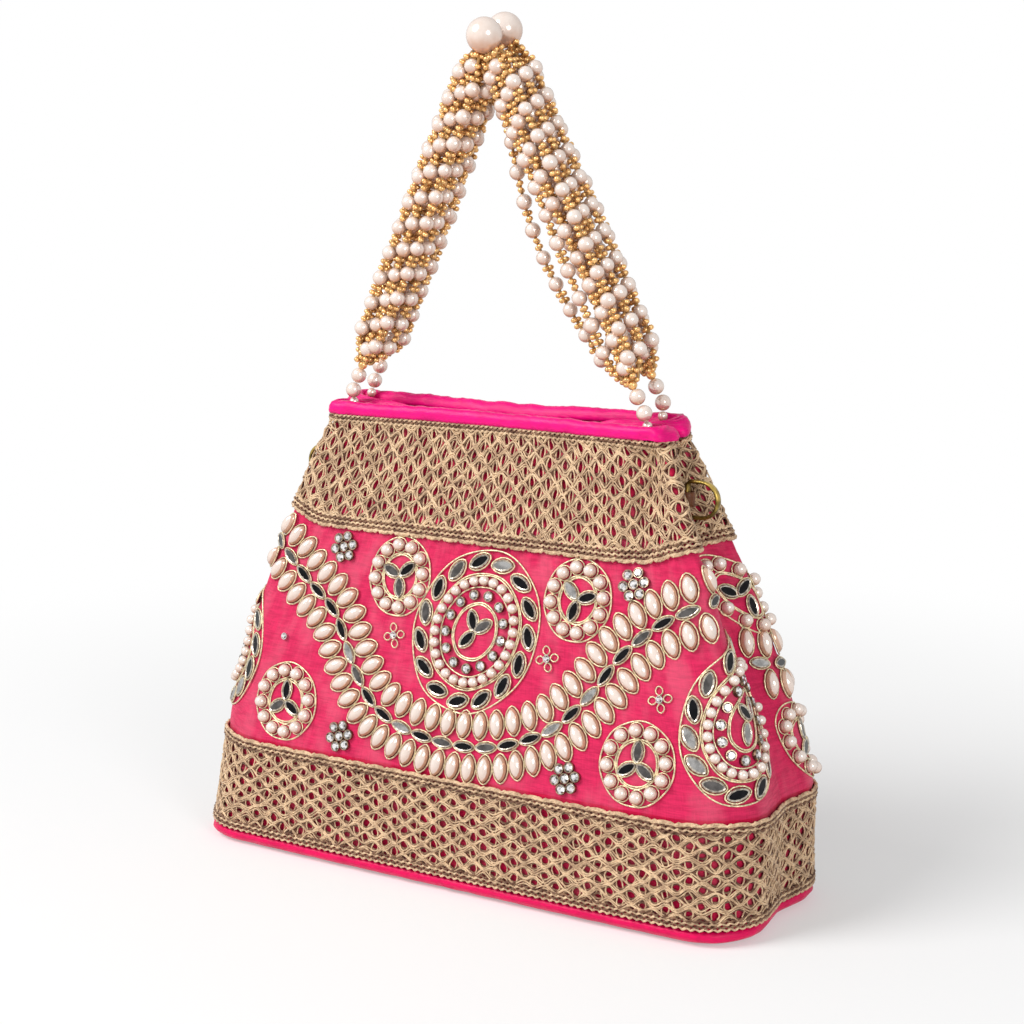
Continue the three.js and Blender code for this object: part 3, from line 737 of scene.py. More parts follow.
def raised(bm, face, keep=True):
    """Extrudes a face and gives the new one. The old face stays only where it is the bottom."""
    grown = bmesh.ops.extrude_face_region(bm, geom=[face])["geom"]
    if not keep:
        bmesh.ops.delete(bm, geom=[face], context="FACES_ONLY")
    return next(f for f in grown if isinstance(f, bmesh.types.BMFace))


def drop_pearl(length, width, height):
    """Pointed oval pearl, flat below: a leaf-shaped ring inset and raised in steps."""
    bm = bmesh.new()
    verts = [bm.verts.new((x * MM, y * MM, 0)) for x, y in leaf_points(length, width, 7)]
    face = raised(bm, bm.faces.new(verts))
    steps = 5
    reach = 1.0
    for step in range(1, steps):
        angle = step / steps * math.pi / 2
        wide = math.cos(angle)
        high = height * math.sin(angle) * MM
        for vert in face.verts:
            vert.co = Vector((vert.co.x * wide / reach, vert.co.y * wide / reach, high))
        reach = wide
        if step < steps - 1:
            face = raised(bm, face, keep=False)
    # The lower side faces take the second finish: painted shade round the pearl's rim.
    for side in bm.faces:
        side.material_index = 1 if side.calc_center_median().z < 0.5 * height * MM else 0
    crown = bmesh.ops.poke(bm, faces=[face])["verts"][0]
    crown.co.z = height * MM
    return shape_mesh(bm)


def cut_mirror(length, width):
    """Leaf-shaped mirror: a silver rim, sloped inwards, round the glass."""
    bm = bmesh.new()
    verts = [bm.verts.new((x * MM, y * MM, 0)) for x, y in leaf_points(length, width, 6)]
    top = raised(bm, bm.faces.new(verts))
    bmesh.ops.translate(bm, verts=top.verts, vec=(0, 0, 0.6 * MM))
    for along, across, rise in ((0.95, 0.88, 0.3), (0.86, 0.74, -0.22)):
        top = raised(bm, top, keep=False)
        for vert in top.verts:
            vert.co = Vector((vert.co.x * along, vert.co.y * across, vert.co.z + rise * MM))
    top.material_index = 1
    return shape_mesh(bm, smooth=False)


def cut_stone(radius):
    """Round cut stone in a dark cup with a rolled edge."""
    bm = bmesh.new()
    cup = bmesh.ops.create_cone(bm, cap_ends=True, segments=12, radius1=radius * MM * 1.02,
                                radius2=radius * MM, depth=1.1 * MM)["verts"]
    bmesh.ops.translate(bm, verts=cup, vec=(0, 0, 0.55 * MM))
    top = max(bm.faces, key=lambda f: f.calc_center_median().z)
    bmesh.ops.inset_region(bm, faces=[top], thickness=0.12 * radius * MM, depth=0)
    stone = bmesh.ops.create_cone(bm, cap_ends=True, segments=8, radius1=radius * MM * 0.88,
                                  radius2=radius * MM * 0.52, depth=0.5 * MM)["verts"]
    bmesh.ops.translate(bm, verts=stone, vec=(0, 0, 1.3 * MM))
    mine = set(stone)
    facets = [face for face in bm.faces if set(face.verts) <= mine]
    # The table and side facets take the bright, grey and dark finishes in turn: painted reflections.
    for k, face in enumerate(facets):
        face.material_index = 1 if len(face.verts) > 4 else 1 + k % 3
    return shape_mesh(bm, smooth=False)


def leaf_wire(length, width, radius, steps=7, point=1.25):
    places = leaf_points(length, width, steps, point)
    line = np.array([(x * MM, y * MM, 0.35 * MM) for x, y in places])
    return tubes([(line, True)], radius * MM)


# The silk body, its lining and base


def ruffle(place, size, depth):
    """Soft unevenness of cloth, in millimetres."""
    return noise.noise(Vector(place) / size) * depth


def weave_map(bm, columns):
    """Lays the weave's own map on a lofted skin, in metres round and up the bag."""
    layer = bm.loops.layers.uv.new("weave")
    place = {vert: (i % columns) / columns for i, vert in enumerate(bm.verts)}
    for face in bm.faces:
        shares = [place[loop.vert] for loop in face.loops]
        wrapped = max(shares) - min(shares) > 0.5
        for loop, share in zip(face.loops, shares):
            if wrapped and share < 0.5:
                share += 1
            loop[layer].uv = (share * WEAVE_ROUND * MM, loop.vert.co.z)


class POTLI_OT_silk(bpy.types.Operator):
    """Silk body with its soft folds, and the darker cloth under the lace, partly painted shade"""

    bl_idname = "potli.silk"
    bl_label = "Silk body"

    def execute(self, context):
        columns = 120
        heights = np.concatenate([np.linspace(WALL_FOOT, LOWER_LACE_TOP, 12), np.linspace(41, 113, 73),
                                  np.linspace(115, WALL_TOP, 26)])
        turns = np.arange(4 * columns) / columns
        outer = []
        for z in heights:
            fold = []
            for turn in turns:
                calm = ease(abs(turn % 2 - 1) * 12)
                soft = ruffle((turn * 110, z, 3), 17, 0.5) + ruffle((turn * 110, z * 0.35, 9), 6, 0.22)
                gather = 0.35 * math.sin(turn * 130 + 2 * math.sin(turn * 17)) * ease((z - 100) / 14)
                under_lace = max(ease((LACE_TOP - z) / 2), ease((z - UPPER_LACE_FOOT - 6) / 3))
                free = (soft + gather * ease((116 - z) / 3)) * calm
                fold.append(free * (1 - under_lace) - 0.3 * under_lace)
            points = cloth.at(turns, np.full(len(turns), z), np.array(fold))
            outer.append([Vector(p) * MM for p in points])
        inner_heights = (WALL_TOP, 149, 147, 145, 143, 141, 138, 134, 128, 120, 113, 100, 80, 40, WALL_FOOT)
        inner = [ring_points(z, SILK_WALL, columns) for z in inner_heights]
        bm = lofted(outer + inner, closed=True)
        bm.verts.index_update()
        weave_map(bm, 4 * columns)
        for face in bm.faces:
            # Faces under the lace take the ground finish: a deeper red cloth, partly painted shade under
            # the lace.
            height = face.calc_center_median().z / MM
            if height < LOWER_LACE_TOP - 1 or height > UPPER_LACE_FOOT + 6:
                face.material_index = 1
        piece("silk_shell", bm, ["bag_silk", "bag_ground_and_shade"], "root", "silk", ["silk_body"])
        return {"FINISHED"}


class POTLI_OT_lining(bpy.types.Operator):
    """Lining, stiff board and snap inside the mouth"""

    bl_idname = "potli.lining"
    bl_label = "Lining and snap"

    SOCKET = ((0, 0.95), (2.2, 0.95), (2.4, 0.6), (5.6, 0.6), (6.6, 0.9), (7, 0.5), (7, 0.2), (0, 0.2))
    STUD = ((0, 0.95), (2, 0.95), (2.6, 0.7), (5, 0.7), (6, 0.5), (6, 0.2), (0, 0.2))

    def execute(self, context):
        columns = 80
        heights = [BOARD_TOP, 14, 26, 40, 60, 80, 100, 113, 122, 130, 136, *range(139, 150, 2), WALL_TOP]
        outer = [ring_points(z, LINING_OUTSIDE, columns) for z in heights]
        inner = []
        for z in reversed(heights):
            ring = ring_points(z + (0.6 if z == BOARD_TOP else 0), LINING_INSIDE, columns)
            for i, point in enumerate(ring):
                push = ruffle((i * 1.7, z * 1.3, 4), 9, 0.3)
                point.y -= math.copysign(abs(push), point.y) * MM if abs(point.y) > 3 * MM else 0
            inner.append(ring)
        bm = lofted(outer + inner)
        piece("lining_skin", bm, ["bag_lining_shaded"], "root", "lining", ["lining"])
        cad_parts["base_board"].data.materials.clear()
        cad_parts["base_board"].data.materials.append(finishes()["bag_board"])
        self.snap("socket", FRONT, self.SOCKET)
        self.snap("stud", REAR, self.STUD)
        return {"FINISHED"}

    def snap(self, word, side_y, profile):
        """One half of the snap, turned from (radius, depth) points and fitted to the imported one."""
        low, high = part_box(f"snap_{word}")
        depth = high.y - low.y
        near = low.y if side_y > 0 else high.y
        bm = bmesh.new()
        shares = [(r * MM, (d - 0.2) / 0.75 * depth) for r, d in profile]
        verts = [bm.verts.new((r, near + side_y * d, SNAP_HEIGHT * MM)) for r, d in shares]
        edges = [bm.edges.new(pair) for pair in zip(verts, verts[1:])]
        bmesh.ops.spin(bm, geom=verts + edges, cent=(0, 0, SNAP_HEIGHT * MM), axis=(0, 1, 0),
                       angle=2 * math.pi, steps=28, use_merge=True)
        bmesh.ops.remove_doubles(bm, verts=bm.verts, dist=1e-6)
        bmesh.ops.recalc_face_normals(bm, faces=bm.faces)
        piece(f"{word}_snap", bm, ["bag_silver"], "root", "steel", [f"snap_{word}"])


class POTLI_OT_base(bpy.types.Operator):
    """Padded satin base that swells a little past the lace"""

    bl_idname = "potli.base"
    bl_label = "Padded base"

    def execute(self, context):
        columns = 100
        profile = [(0, 11), (0.1, 7), (0.45, 3.6), (1.2, 1.0), (2.2, -0.3), (3.2, -0.9), (4.3, -0.8),
                   (BASE_HEIGHT, 0.2)]
        rings = []
        for z, inset in profile:
            ring = ring_points(z, inset, columns)
            for i, point in enumerate(ring):
                fading = ease(z / 0.8) * ease((BASE_HEIGHT + 0.2 - z) / 0.6)
                swell = ruffle((i * 1.3, z * 4, 1), 6, 0.45) * fading
                out = Vector((point.x, point.y * 2.5, 0)).normalized()
                point += out * swell * MM
            rings.append(ring)
        bm = lofted(rings)
        base = piece("base_pillow", bm, ["bag_base"], "root", "base_satin", ["base_panel"])
        return {"FINISHED"}


class POTLI_OT_binding(bpy.types.Operator):
    """Rounded satin binding round the mouth"""

    bl_idname = "potli.binding"
    bl_label = "Mouth binding"

    def execute(self, context):
        columns = 120
        profile = [(-1.9, -1.1), (-2.3, -0.2), (-2.35, 1.3), (-1.9, 2.6), (-0.9, 3.2),
                   (0.1, 3.3), (1.0, 2.9), (1.7, 2.1), (2.05, 1), (2.1, 0)]
        rings = []
        for k, (inset, rise) in enumerate(profile):
            ring = ring_points(BINDING_FOOT + rise, inset, columns)
            for i, point in enumerate(ring):
                uneven = ruffle((i * 0.9, k * 0.4, 6), 7, 0.5) + ruffle((i * 0.9, k * 2, 2), 2.5, 0.2)
                point.z += uneven * MM * (0.4 if k in (0, len(profile) - 1) else 1)
            rings.append(ring)
        bm = lofted(rings, closed=True)
        piece("binding_roll", bm, ["bag_satin"], "root", "satin", ["mouth_binding"])
        return {"FINISHED"}


# Lace


class LaceBand:
    """One lace band: a net of waving cords with braided edges, laid on the cloth."""

    def __init__(self, name, foot_at, top, cells, rows, foot_braids, top_braids):
        self.name = name
        self.foot_at = foot_at
        self.top = top
        self.cells = cells
        self.rows = rows
        self.foot_braids = foot_braids
        self.top_braids = top_braids
        self.dice = random.Random(name)

    def line(self, turns, heights, lift):
        return cloth.at(turns, heights, lift) * MM

    def band_heights(self, turns, share):
        """Heights at a share of the way from the band's foot to its top."""
        foot = self.foot_at(turns)
        return foot + (self.top - foot) * share

    def net(self, sizes):
        """Waves that meet in turn, the dark cords behind them, and pairs of upright cords
        that cross where the waves meet."""
        span = self.top - float(self.foot_at(np.zeros(1))[0])
        low = (self.foot_braids + 0.2) * BRAID_STEP / span
        high = 1 - (self.top_braids + 0.2) * BRAID_STEP / span
        pitch = (high - low) / self.rows
        per_cell = 8
        turns = np.arange(4 * self.cells * per_cell) / (self.cells * per_cell)
        phase = 2 * np.pi * self.cells * turns
        waves = []
        backing = []
        uprights = []
        for row in range(self.rows + 1):
            wave = np.cos(phase + math.pi * row)
            for strand in (-2, -1, 0, 1, 2):
                under = abs(strand) == 2
                drift = wander([(t * 24, row * 3.1 + strand * 0.35, 5) for t in turns])
                share = low + pitch * row + 0.4 * pitch * wave + drift * pitch * 0.5
                heights = self.band_heights(turns, share) + strand * LACE_CORD_STEP
                weaving = 0.16 * np.sin(phase * 0.5 + strand * 2 + row)
                lift = 0.55 if under else 0.95 + 0.16 * (strand == 0)
                cords = backing if under else waves
                cords.append((self.line(turns, heights, lift + weaving), True))
        steps = 4 * self.rows
        shares = np.linspace(low, high, steps + 1)
        wide = sizes.lace_eye / (MM * WEAVE_ROUND)
        for column in range(8 * self.cells):
            middle = column / (2 * self.cells)
            for side in (-1, 1):
                stagger = -0.25 if column % 2 else 0.25
                swing = np.cos(math.pi * ((shares - low) / (2 * pitch) + stagger - 0.07 * side))
                roving = wander([(column * 1.7, k * 0.35, side) for k in range(steps + 1)])
                swell = self.dice.uniform(4.4, 5.6)
                column_turns = middle + side * swing * wide * swell + roving * wide * 1.5
                heights = self.band_heights(column_turns, shares)
                lift = 0.75 + 0.2 * side * np.sin(np.linspace(0, math.pi * self.rows / 2, steps + 1))
                uprights.append((self.line(column_turns, heights, lift), False))
        return waves, backing, uprights

    def braids(self):
        """Edge cords that wave out of step with each other, so they look plaited."""
        wave_count = self.cells * 3
        per_wave = 4
        turns = np.arange(4 * wave_count * per_wave) / (wave_count * per_wave)
        phase = 2 * np.pi * wave_count * turns
        pale = []
        dark = []
        foot = self.foot_at(turns)
        for edge, count in (("foot", self.foot_braids), ("top", self.top_braids)):
            for k in range(count):
                offset = (k + 0.45) * BRAID_STEP
                base = foot + offset if edge == "foot" else self.top - offset
                heights = base + 0.36 * np.sin(phase + math.pi * k + 0.4 * math.sin(k))
                lift = 1.15 + 0.28 * np.cos(phase + math.pi * k)
                # Every second braid cord is in painted shade, so the plait looks deep.
                cords = dark if k % 2 else pale
                cords.append((self.line(turns, heights, lift), True))
        return pale, dark

    def scallops(self):
        """Shallow loops along the band's free edge."""
        per_loop = 8
        turns = np.arange(4 * self.cells * per_loop) / (self.cells * per_loop)
        arch = np.abs(np.sin(math.pi * self.cells * turns))
        lines = []
        for k, depth in enumerate((0.9, 0.4)):
            if self.top < UPPER_LACE_FOOT:
                heights = self.top - 0.9 + depth * arch
            else:
                heights = self.foot_at(turns) + 0.9 - depth * arch
            lines.append((self.line(turns, heights, np.full(len(turns), 1.0 + 0.15 * k)), True))
        return lines

    def build(self, sizes):
        waves, backing, uprights = self.net(sizes)
        pale, dark = self.braids()
        # The backing cords and every second braid cord take the lace finish in painted shade.
        parts = {
            "net": [(waves, sizes.lace_cord, "bag_lace")],
            "ties": [(backing, sizes.lace_backing, "bag_lace_shaded"),
                     (uprights, sizes.lace_cord, "bag_lace")],
            "braid": [(pale + self.scallops(), sizes.lace_braid, "bag_lace"),
                      (dark, sizes.lace_braid, "bag_lace_shaded")],
        }
        for word, cords in parts.items():
            cluster = Cluster()
            for lines, radius, material in cords:
                cluster.add_mesh(tubes(lines, radius), material)
            cluster.finish(f"{self.name}_{word}", "root", "lace", [self.name])


def upper_foot_at(turns):
    """The upper lace rises on the gussets, from the panel's fold round to the crease."""
    points = cloth.at(turns, np.full_like(turns, UPPER_LACE_FOOT), np.zeros_like(turns))
    beyond = (np.abs(points[..., 0]) - PANEL_HALF_WIDTH) / (BAND_RIGHT - MOUTH_HALF_WIDTH)
    return UPPER_LACE_FOOT + UPPER_LACE_SIDE_LIFT * eased(beyond * 2)


def lower_foot_at(turns):
    return np.full_like(turns, LACE_FOOT)


class POTLI_OT_lace(bpy.types.Operator):
    """Lace bands as real cords over the silk"""

    bl_idname = "potli.lace"
    bl_label = "Lace bands"

    def execute(self, context):
        sizes = context.scene.potli_sizes
        LaceBand("lower_lace", lower_foot_at, LACE_TOP, 17, 10, 4, 4).build(sizes)
        LaceBand("upper_lace", upper_foot_at, WALL_TOP - 0.9, 15, 10, 5, 3).build(sizes)
        return {"FINISHED"}


# Embroidery


# Painted reflections, given to the mirrors at random.
DARK_REFLECTION, GREY_REFLECTION, PALE_REFLECTION = "bag_mirror_dark", "bag_mirror_grey_reflection", "bag_mirror_pale_reflection"
MIRROR_REFLECTIONS = (DARK_REFLECTION, DARK_REFLECTION, GREY_REFLECTION, DARK_REFLECTION, PALE_REFLECTION)
LINE_REFLECTIONS = (DARK_REFLECTION,) * 5 + (PALE_REFLECTION, GREY_REFLECTION)


class Trims:
    """The small shapes that the embroidery repeats, made once."""

    kept = {}

    def __init__(self, sizes):
        if not Trims.kept:
            wire = sizes.wire / MM
            thin = wire * 0.8
            pearl = sizes.pearl / MM
            round_pearl_wire = 2 * pearl + 0.7
            gold = ["bag_wire"]
            mirror = ["bag_rim", DARK_REFLECTION]
            facets = ["bag_stone", "bag_stone_grey", "bag_stone_dark"]
            Trims.kept = {
                "pearl": (round_pearl(pearl), ["bag_pearl"]),
                "pearl_wire": (leaf_wire(round_pearl_wire, round_pearl_wire, thin, 7, 1.0), gold),
                "small_pearl": (round_pearl(pearl * 0.82), ["bag_pearl"]),
                "drop": (drop_pearl(8.8, 4.7, 2.9), ["bag_drop_pearl", "bag_drop_rim"]),
                "drop_wire": (leaf_wire(9.7, 5.7, wire), gold),
                "line_mirror": (cut_mirror(7.9, 3.3), mirror),
                "line_wire": (leaf_wire(8.3, 3.9, thin), gold),
                "oval_mirror": (cut_mirror(7.9, 4.2), mirror),
                "oval_mirror_wire": (leaf_wire(8.7, 5.2, wire), gold),
                "petal_mirror": (cut_mirror(7.2, 3.8), mirror),
                "petal_wire": (leaf_wire(7.7, 4.4, thin), gold),
                "stone": (cut_stone(1.75), ["bag_cup", *facets]),
                "small_stone": (cut_stone(1.2), ["bag_silver", *facets]),
                "loop": (leaf_wire(2.9, 2.5, wire * 0.9, 5), gold),
            }

    def __getitem__(self, name):
        return Trims.kept[name]


class Motif:
    """Places trims on the cloth round a centre, inside the gusset seam."""

    def __init__(self, name, node, side_y, s, z, wide, tall, tilt=0.0, finish_slot="embroidery"):
        self.name = name
        self.node = node
        self.side_y = side_y
        self.s = s
        self.z = z
        self.wide = wide
        self.tall = tall
        self.tilt = tilt
        self.slot = finish_slot
        self.trims = Trims(bpy.context.scene.potli_sizes)
        self.wire = bpy.context.scene.potli_sizes.wire
        self.cluster = Cluster()
        self.dice = random.Random(name)

    def spot(self, share, angle):
        """Cloth place at a share of the motif's size, in the direction of the angle."""
        a = math.cos(angle) * self.wide * share
        b = math.sin(angle) * self.tall * share
        across = a * math.cos(self.tilt) + b * math.sin(self.tilt)
        upward = b * math.cos(self.tilt) - a * math.sin(self.tilt)
        return self.s + across, self.z + upward

    def hidden(self, s, z):
        return abs(s) > cloth.crease(self.side_y, s, z) - SEAM_MARGIN

    def put(self, trim, s, z, angle=0.0, lift=0.3, swaps=None):
        if self.hidden(s, z):
            return
        seat = cloth.seat(self.side_y, s, z, angle, lift)
        self.cluster.add(self.trims[trim], seat, swaps)

    def ring(self, trim, share, count, lift, start=0.0, lean=0.0, tones=None):
        """A ring of trims, evenly spaced along the oval. lean turns each from the oval's own run."""
        fine = [self.spot(share, i / 180 * math.pi) for i in range(361)]
        steps = [0.0]
        for (s0, z0), (s1, z1) in zip(fine, fine[1:]):
            steps.append(steps[-1] + math.hypot(s1 - s0, z1 - z0))
        for k in range(count):
            distance = (k + start) / count * steps[-1] % steps[-1]
            angle = float(np.interp(distance, steps, np.arange(361))) / 180 * math.pi
            s, z = self.spot(share, angle)
            ahead = self.spot(share, angle + 0.02)
            heading = math.atan2(ahead[1] - z, ahead[0] - s) + lean
            swaps = {DARK_REFLECTION: self.dice.choice(tones)} if tones else None
            self.put(trim, s, z, heading, lift, swaps)
            yield s, z, heading

    def hoop(self, share):
        """A wire laid round the motif, a little uneven as by hand."""
        count = 64
        points = []
        for i in range(count):
            angle = i / count * 2 * math.pi
            bent = share * (1 + 0.008 * math.sin(angle * 7 + share * 40))
            s, z = self.spot(bent, angle)
            edge = cloth.crease(self.side_y, s, z) - WIRE_SEAM_MARGIN
            s = clamp(s, -edge, edge)
            points.append(cloth.place(self.side_y, s, z, 0.4))
        return np.array(points), True

    def add_wires(self, shares):
        self.cluster.add_mesh(tubes([self.hoop(share) for share in shares], self.wire, 1), "bag_wire")

    def petals(self, directions, length):
        """Mirror petals that meet at the motif's middle."""
        for angle in directions:
            turned = angle - self.tilt
            reach = length * 0.57
            s = self.s + math.cos(turned) * reach
            z = self.z + math.sin(turned) * reach
            tone = self.dice.choice(MIRROR_REFLECTIONS)
            self.put("petal_mirror", s, z, turned, 0.35, {DARK_REFLECTION: tone})
            self.put("petal_wire", s, z, turned, 0.35)

    def finish(self):
        self.cluster.finish(self.name, "root", self.slot, [self.node])


def drain(places):
    """Runs a ring through where nothing is added at its places."""
    for _ in places:
        pass


def round_motif(name, node, side_y, s, z, wide, tall, turned):
    """Round motif: a hoop of pearls between wires, with three mirror petals."""
    motif = Motif(name, node, side_y, s, z, wide, tall)
    motif.add_wires([1.03, 0.6, 0.55])
    for s_at, z_at, heading in motif.ring("pearl", 0.81, 12, 1.6, start=0.3):
        motif.put("pearl_wire", s_at, z_at, heading, 0.2)
    motif.petals([turned + a for a in (1.57, -0.55, 3.7)], 6.4)
    motif.finish()


def oval_motif(name, node, side_y, s, z, wide, tall, tilt):
    """Oval motif: wired mirrors, a double wire, pearls, stones in cups and mirror petals."""
    motif = Motif(name, node, side_y, s, z, wide, tall, tilt)
    motif.add_wires([1.0, 0.715, 0.69, 0.55, 0.355, 0.33])
    for s_at, z_at, heading in motif.ring("oval_mirror", 0.86, 15, 0.35, lean=0.35, tones=MIRROR_REFLECTIONS):
        motif.put("oval_mirror_wire", s_at, z_at, heading, 0.3)
    drain(motif.ring("small_pearl", 0.625, 26, 1.3))
    drain(motif.ring("stone", 0.455, 13, 0.25, start=0.5))
    motif.petals([1.0, 2.3, 4.4], 6.2)
    motif.finish()


class POTLI_OT_round_motifs(bpy.types.Operator):
    """Round motifs on the front, the gussets and the rear"""

    bl_idname = "potli.round_motifs"
    bl_label = "Round motifs"

    def execute(self, context):
        rounds = [
            ("front_round_left", "front_round_motif_left", FRONT, -27, 100, 11.6, 12.4, 3.3),
            ("front_round_right", "front_round_motif_right", FRONT, 41, 100, 11.6, 12.4, 2.9),
            ("front_low_left", "front_low_motif_left", FRONT, -67, 54, 12.4, 12.4, 0),
            ("front_low_right", "front_low_motif_right", FRONT, 69, 54, 12.4, 12.4, 0),
            ("gusset_left", "gusset_motif_left", REAR, -93, 101, 11.6, 12.4, 3),
            ("gusset_right", "gusset_motif_right", REAR, 93, 101, 11.6, 12.4, 3),
            ("gusset_low_left", "gusset_low_motif_left", REAR, -106, 54, 12.4, 12.4, 0),
            ("gusset_low_right", "gusset_low_motif_right", REAR, 106, 54, 12.4, 12.4, 0),
            ("rear_round_left", "rear_round_motif_left", REAR, -34, 99, 11.6, 12.4, 3.3),
            ("rear_round_right", "rear_round_motif_right", REAR, 34, 99, 11.6, 12.4, 2.9),
        ]
        for name, *place in rounds:
            round_motif(f"{name}_pearls", *place)
        return {"FINISHED"}


class POTLI_OT_oval_motifs(bpy.types.Operator):
    """Oval motifs in the middle of each face and round the front corners"""

    bl_idname = "potli.oval_motifs"
    bl_label = "Oval motifs"

    def execute(self, context):
        ovals = [
            ("front_oval", "front_oval_motif", FRONT, 5, 86, 23.0, 26.4, 0.42),
            ("rear_oval", "rear_oval_motif", REAR, 0, 86, 23.5, 26, 0.0),
            ("corner_oval_right", "corner_oval_motif_right", FRONT, 104, 68, 22.5, 24, 0.0),
            ("corner_oval_left", "corner_oval_motif_left", FRONT, -104, 70, 22.5, 24, 0.0),
        ]
        for name, *place in ovals:
            oval_motif(f"{name}_pearls", *place)
        return {"FINISHED"}


class POTLI_OT_stones(bpy.types.Operator):
    """Stone flowers, small wire flowers and the single stones"""

    bl_idname = "potli.stones"
    bl_label = "Stone flowers"

    def execute(self, context):
        flowers = [("upper_left", -51, 107), ("upper_right", 60, 106.8),
                   ("lower_left", -42.5, 46), ("lower_right", 45, 46)]
        for word, s, z in flowers:
            node = f"stone_flower_{word}"
            motif = Motif(f"{node}_stones", node, FRONT, s, z, 3.6, 3.6, finish_slot="stone")
            motif.put("stone", s, z, 0, 0.25)
            drain(motif.ring("stone", 1.0, 6, 0.2, start=0.25))
            motif.finish()
        wired = Motif("wire_flowers", None, FRONT, 0, 0, 1, 1)
        for s, z in ((-26, 81), (33, 81), (74, 74)):
            wired.put("small_stone", s, z, 0, 0.2)
            for k in range(4):
                angle = k * math.pi / 2 + 0.25
                wired.put("loop", s + 2.6 * math.cos(angle), z + 2.6 * math.sin(angle), angle, 0.2)
        wired.put("small_stone", -71, 75, 0, 0.2)
        wired.cluster.finish("wire_flowers", "root", "embroidery")
        return {"FINISHED"}


def route_points(route, step):
    """Even steps along a smooth line through (s, z) places, with the heading at each."""
    stops = [Vector((s, z, 0)) for s, z in route]
    fine = []
    longer = [stops[0] * 2 - stops[1], *stops, stops[-1] * 2 - stops[-2]]
    for before, start, end, after in zip(longer, longer[1:], longer[2:], longer[3:]):
        for k in range(20):
            t = k / 20
            slope = (end - before) * t
            bend = (2 * before - 5 * start + 4 * end - after) * t * t
            twist = (3 * start - before - 3 * end + after) * t ** 3
            fine.append(0.5 * (2 * start + slope + bend + twist))
    fine.append(stops[-1])
    line = np.array([(p.x, p.y) for p in fine])
    lengths = np.concatenate([[0], np.cumsum(np.hypot(*np.diff(line, axis=0).T))])
    count = max(2, round(lengths[-1] / step))
    at = (np.arange(count) + 0.5) / count * lengths[-1]

    def along(distances):
        return np.stack([np.interp(distances, lengths, line[:, k]) for k in (0, 1)], axis=1)

    ways = along(at + 0.5) - along(at - 0.5)
    return along(at), np.arctan2(ways[:, 1], ways[:, 0])


class POTLI_OT_garlands(bpy.types.Operator):
    """Garlands of pointed pearls on both sides of a line of mirrors"""

    bl_idname = "potli.garlands"
    bl_label = "Garlands"

    def execute(self, context):
        front_route = [(-84, 107.5), (-74, 102), (-64, 94.5), (-52, 86), (-45, 76), (-39, 67),
                       (-31, 58.5), (-20, 53), (-5, 50.3), (10, 50.3), (23, 53), (38, 60),
                       (50, 72), (59, 85), (71, 96), (84, 102.5), (91, 104)]
        rear_route = [(-110, 81), (-99, 79), (-82, 77), (-62, 70), (-40, 56), (-14, 49.8),
                      (14, 49.8), (40, 56), (62, 70), (82, 77), (99, 79), (110, 81)]
        self.garland(context, "front_garland", FRONT, front_route)
        self.garland(context, "rear_garland", REAR, rear_route)
        return {"FINISHED"}

    def garland(self, context, node, side_y, route):
        sizes = context.scene.potli_sizes
        motif = Motif(f"{node}_pearls", node, side_y, 0, 0, 1, 1)
        places, headings = route_points(route, 8.3)
        for (s, z), heading in zip(places, headings):
            tone = motif.dice.choice(LINE_REFLECTIONS)
            motif.put("line_mirror", s, z, heading, 0.35, {DARK_REFLECTION: tone})
            motif.put("line_wire", s, z, heading, 0.3)
        for side in (-1, 1):
            offset = sizes.garland_reach / MM
            outer = []
            for (s, z), heading in zip(*route_points(route, 2.0)):
                outer.append((s - math.sin(heading) * side * offset, z + math.cos(heading) * side * offset))
            places, headings = route_points(outer[::2], sizes.garland_pitch / MM)
            for (s, z), heading in zip(places, headings):
                angle = heading + math.pi / 2 - 0.12
                motif.put("drop", s, z, angle, 0.2)
                motif.put("drop_wire", s, z, angle, 0.2)
        motif.finish()


# Handles


class Leg:
    """One leg of a handle, from its pivot on the mouth to the apex pearl."""

    def __init__(self, side_x, side_y):
        lift = REAR_RISE if side_y > 0 else 0
        self.side_x = side_x
        self.side_y = side_y
        self.foot = Vector((side_x * PIVOT_HALF_SPAN, side_y * PIVOT_DEPTH, PIVOT_HEIGHT + lift))
        self.apex = Vector((APEX_OFFSET, side_y * APEX_DEPTH, APEX_HEIGHT + lift))
        rise = self.apex - self.foot
        self.whole = rise.length
        self.rise = rise / self.whole
        self.direction = Vector((rise.x, 0, rise.z)).normalized()
        self.outward = Vector((self.direction.z, 0, -self.direction.x))
        self.start = STRANDS_START
        self.end = self.whole - APEX_RADIUS - STRANDS_END_GAP

    def spread(self, distance):
        """How far the strands stand apart: drawn together at both ends."""
        opening = mix(0.25, 1, ease((distance - self.start + 4) / 16))
        return opening * mix(0.3, 1, ease((self.end - distance + 3) / 15))

    def strand(self, index, across, stagger, loose, distance):
        """A place on one strand. A loose strand sags away from the bundle."""
        spread = self.spread(distance)
        share = clamp((distance - self.start) / (self.end - self.start) * 1.25)
        sag = 7 * math.sin(share * math.pi) if loose else 0
        depth = mix(self.foot.y, self.apex.y, distance / self.whole)
        sway = 0.6 * math.sin(distance / 17 + index * 2.1)
        place = self.foot + self.rise * distance + self.outward * (across * spread - sag + sway * spread)
        settled = ease((distance - self.start) / 24) * ease((self.end - distance) / 12)
        place.y = mix(depth, self.side_y * BUNDLE_DEPTH, settled) + stagger * spread
        return place


def bead_matrix(place, along, size=1.0):
    turned = along.to_track_quat("Z", "X").to_matrix().to_4x4()
    return Matrix.Translation(place * MM) @ turned @ Matrix.Scale(size, 4)


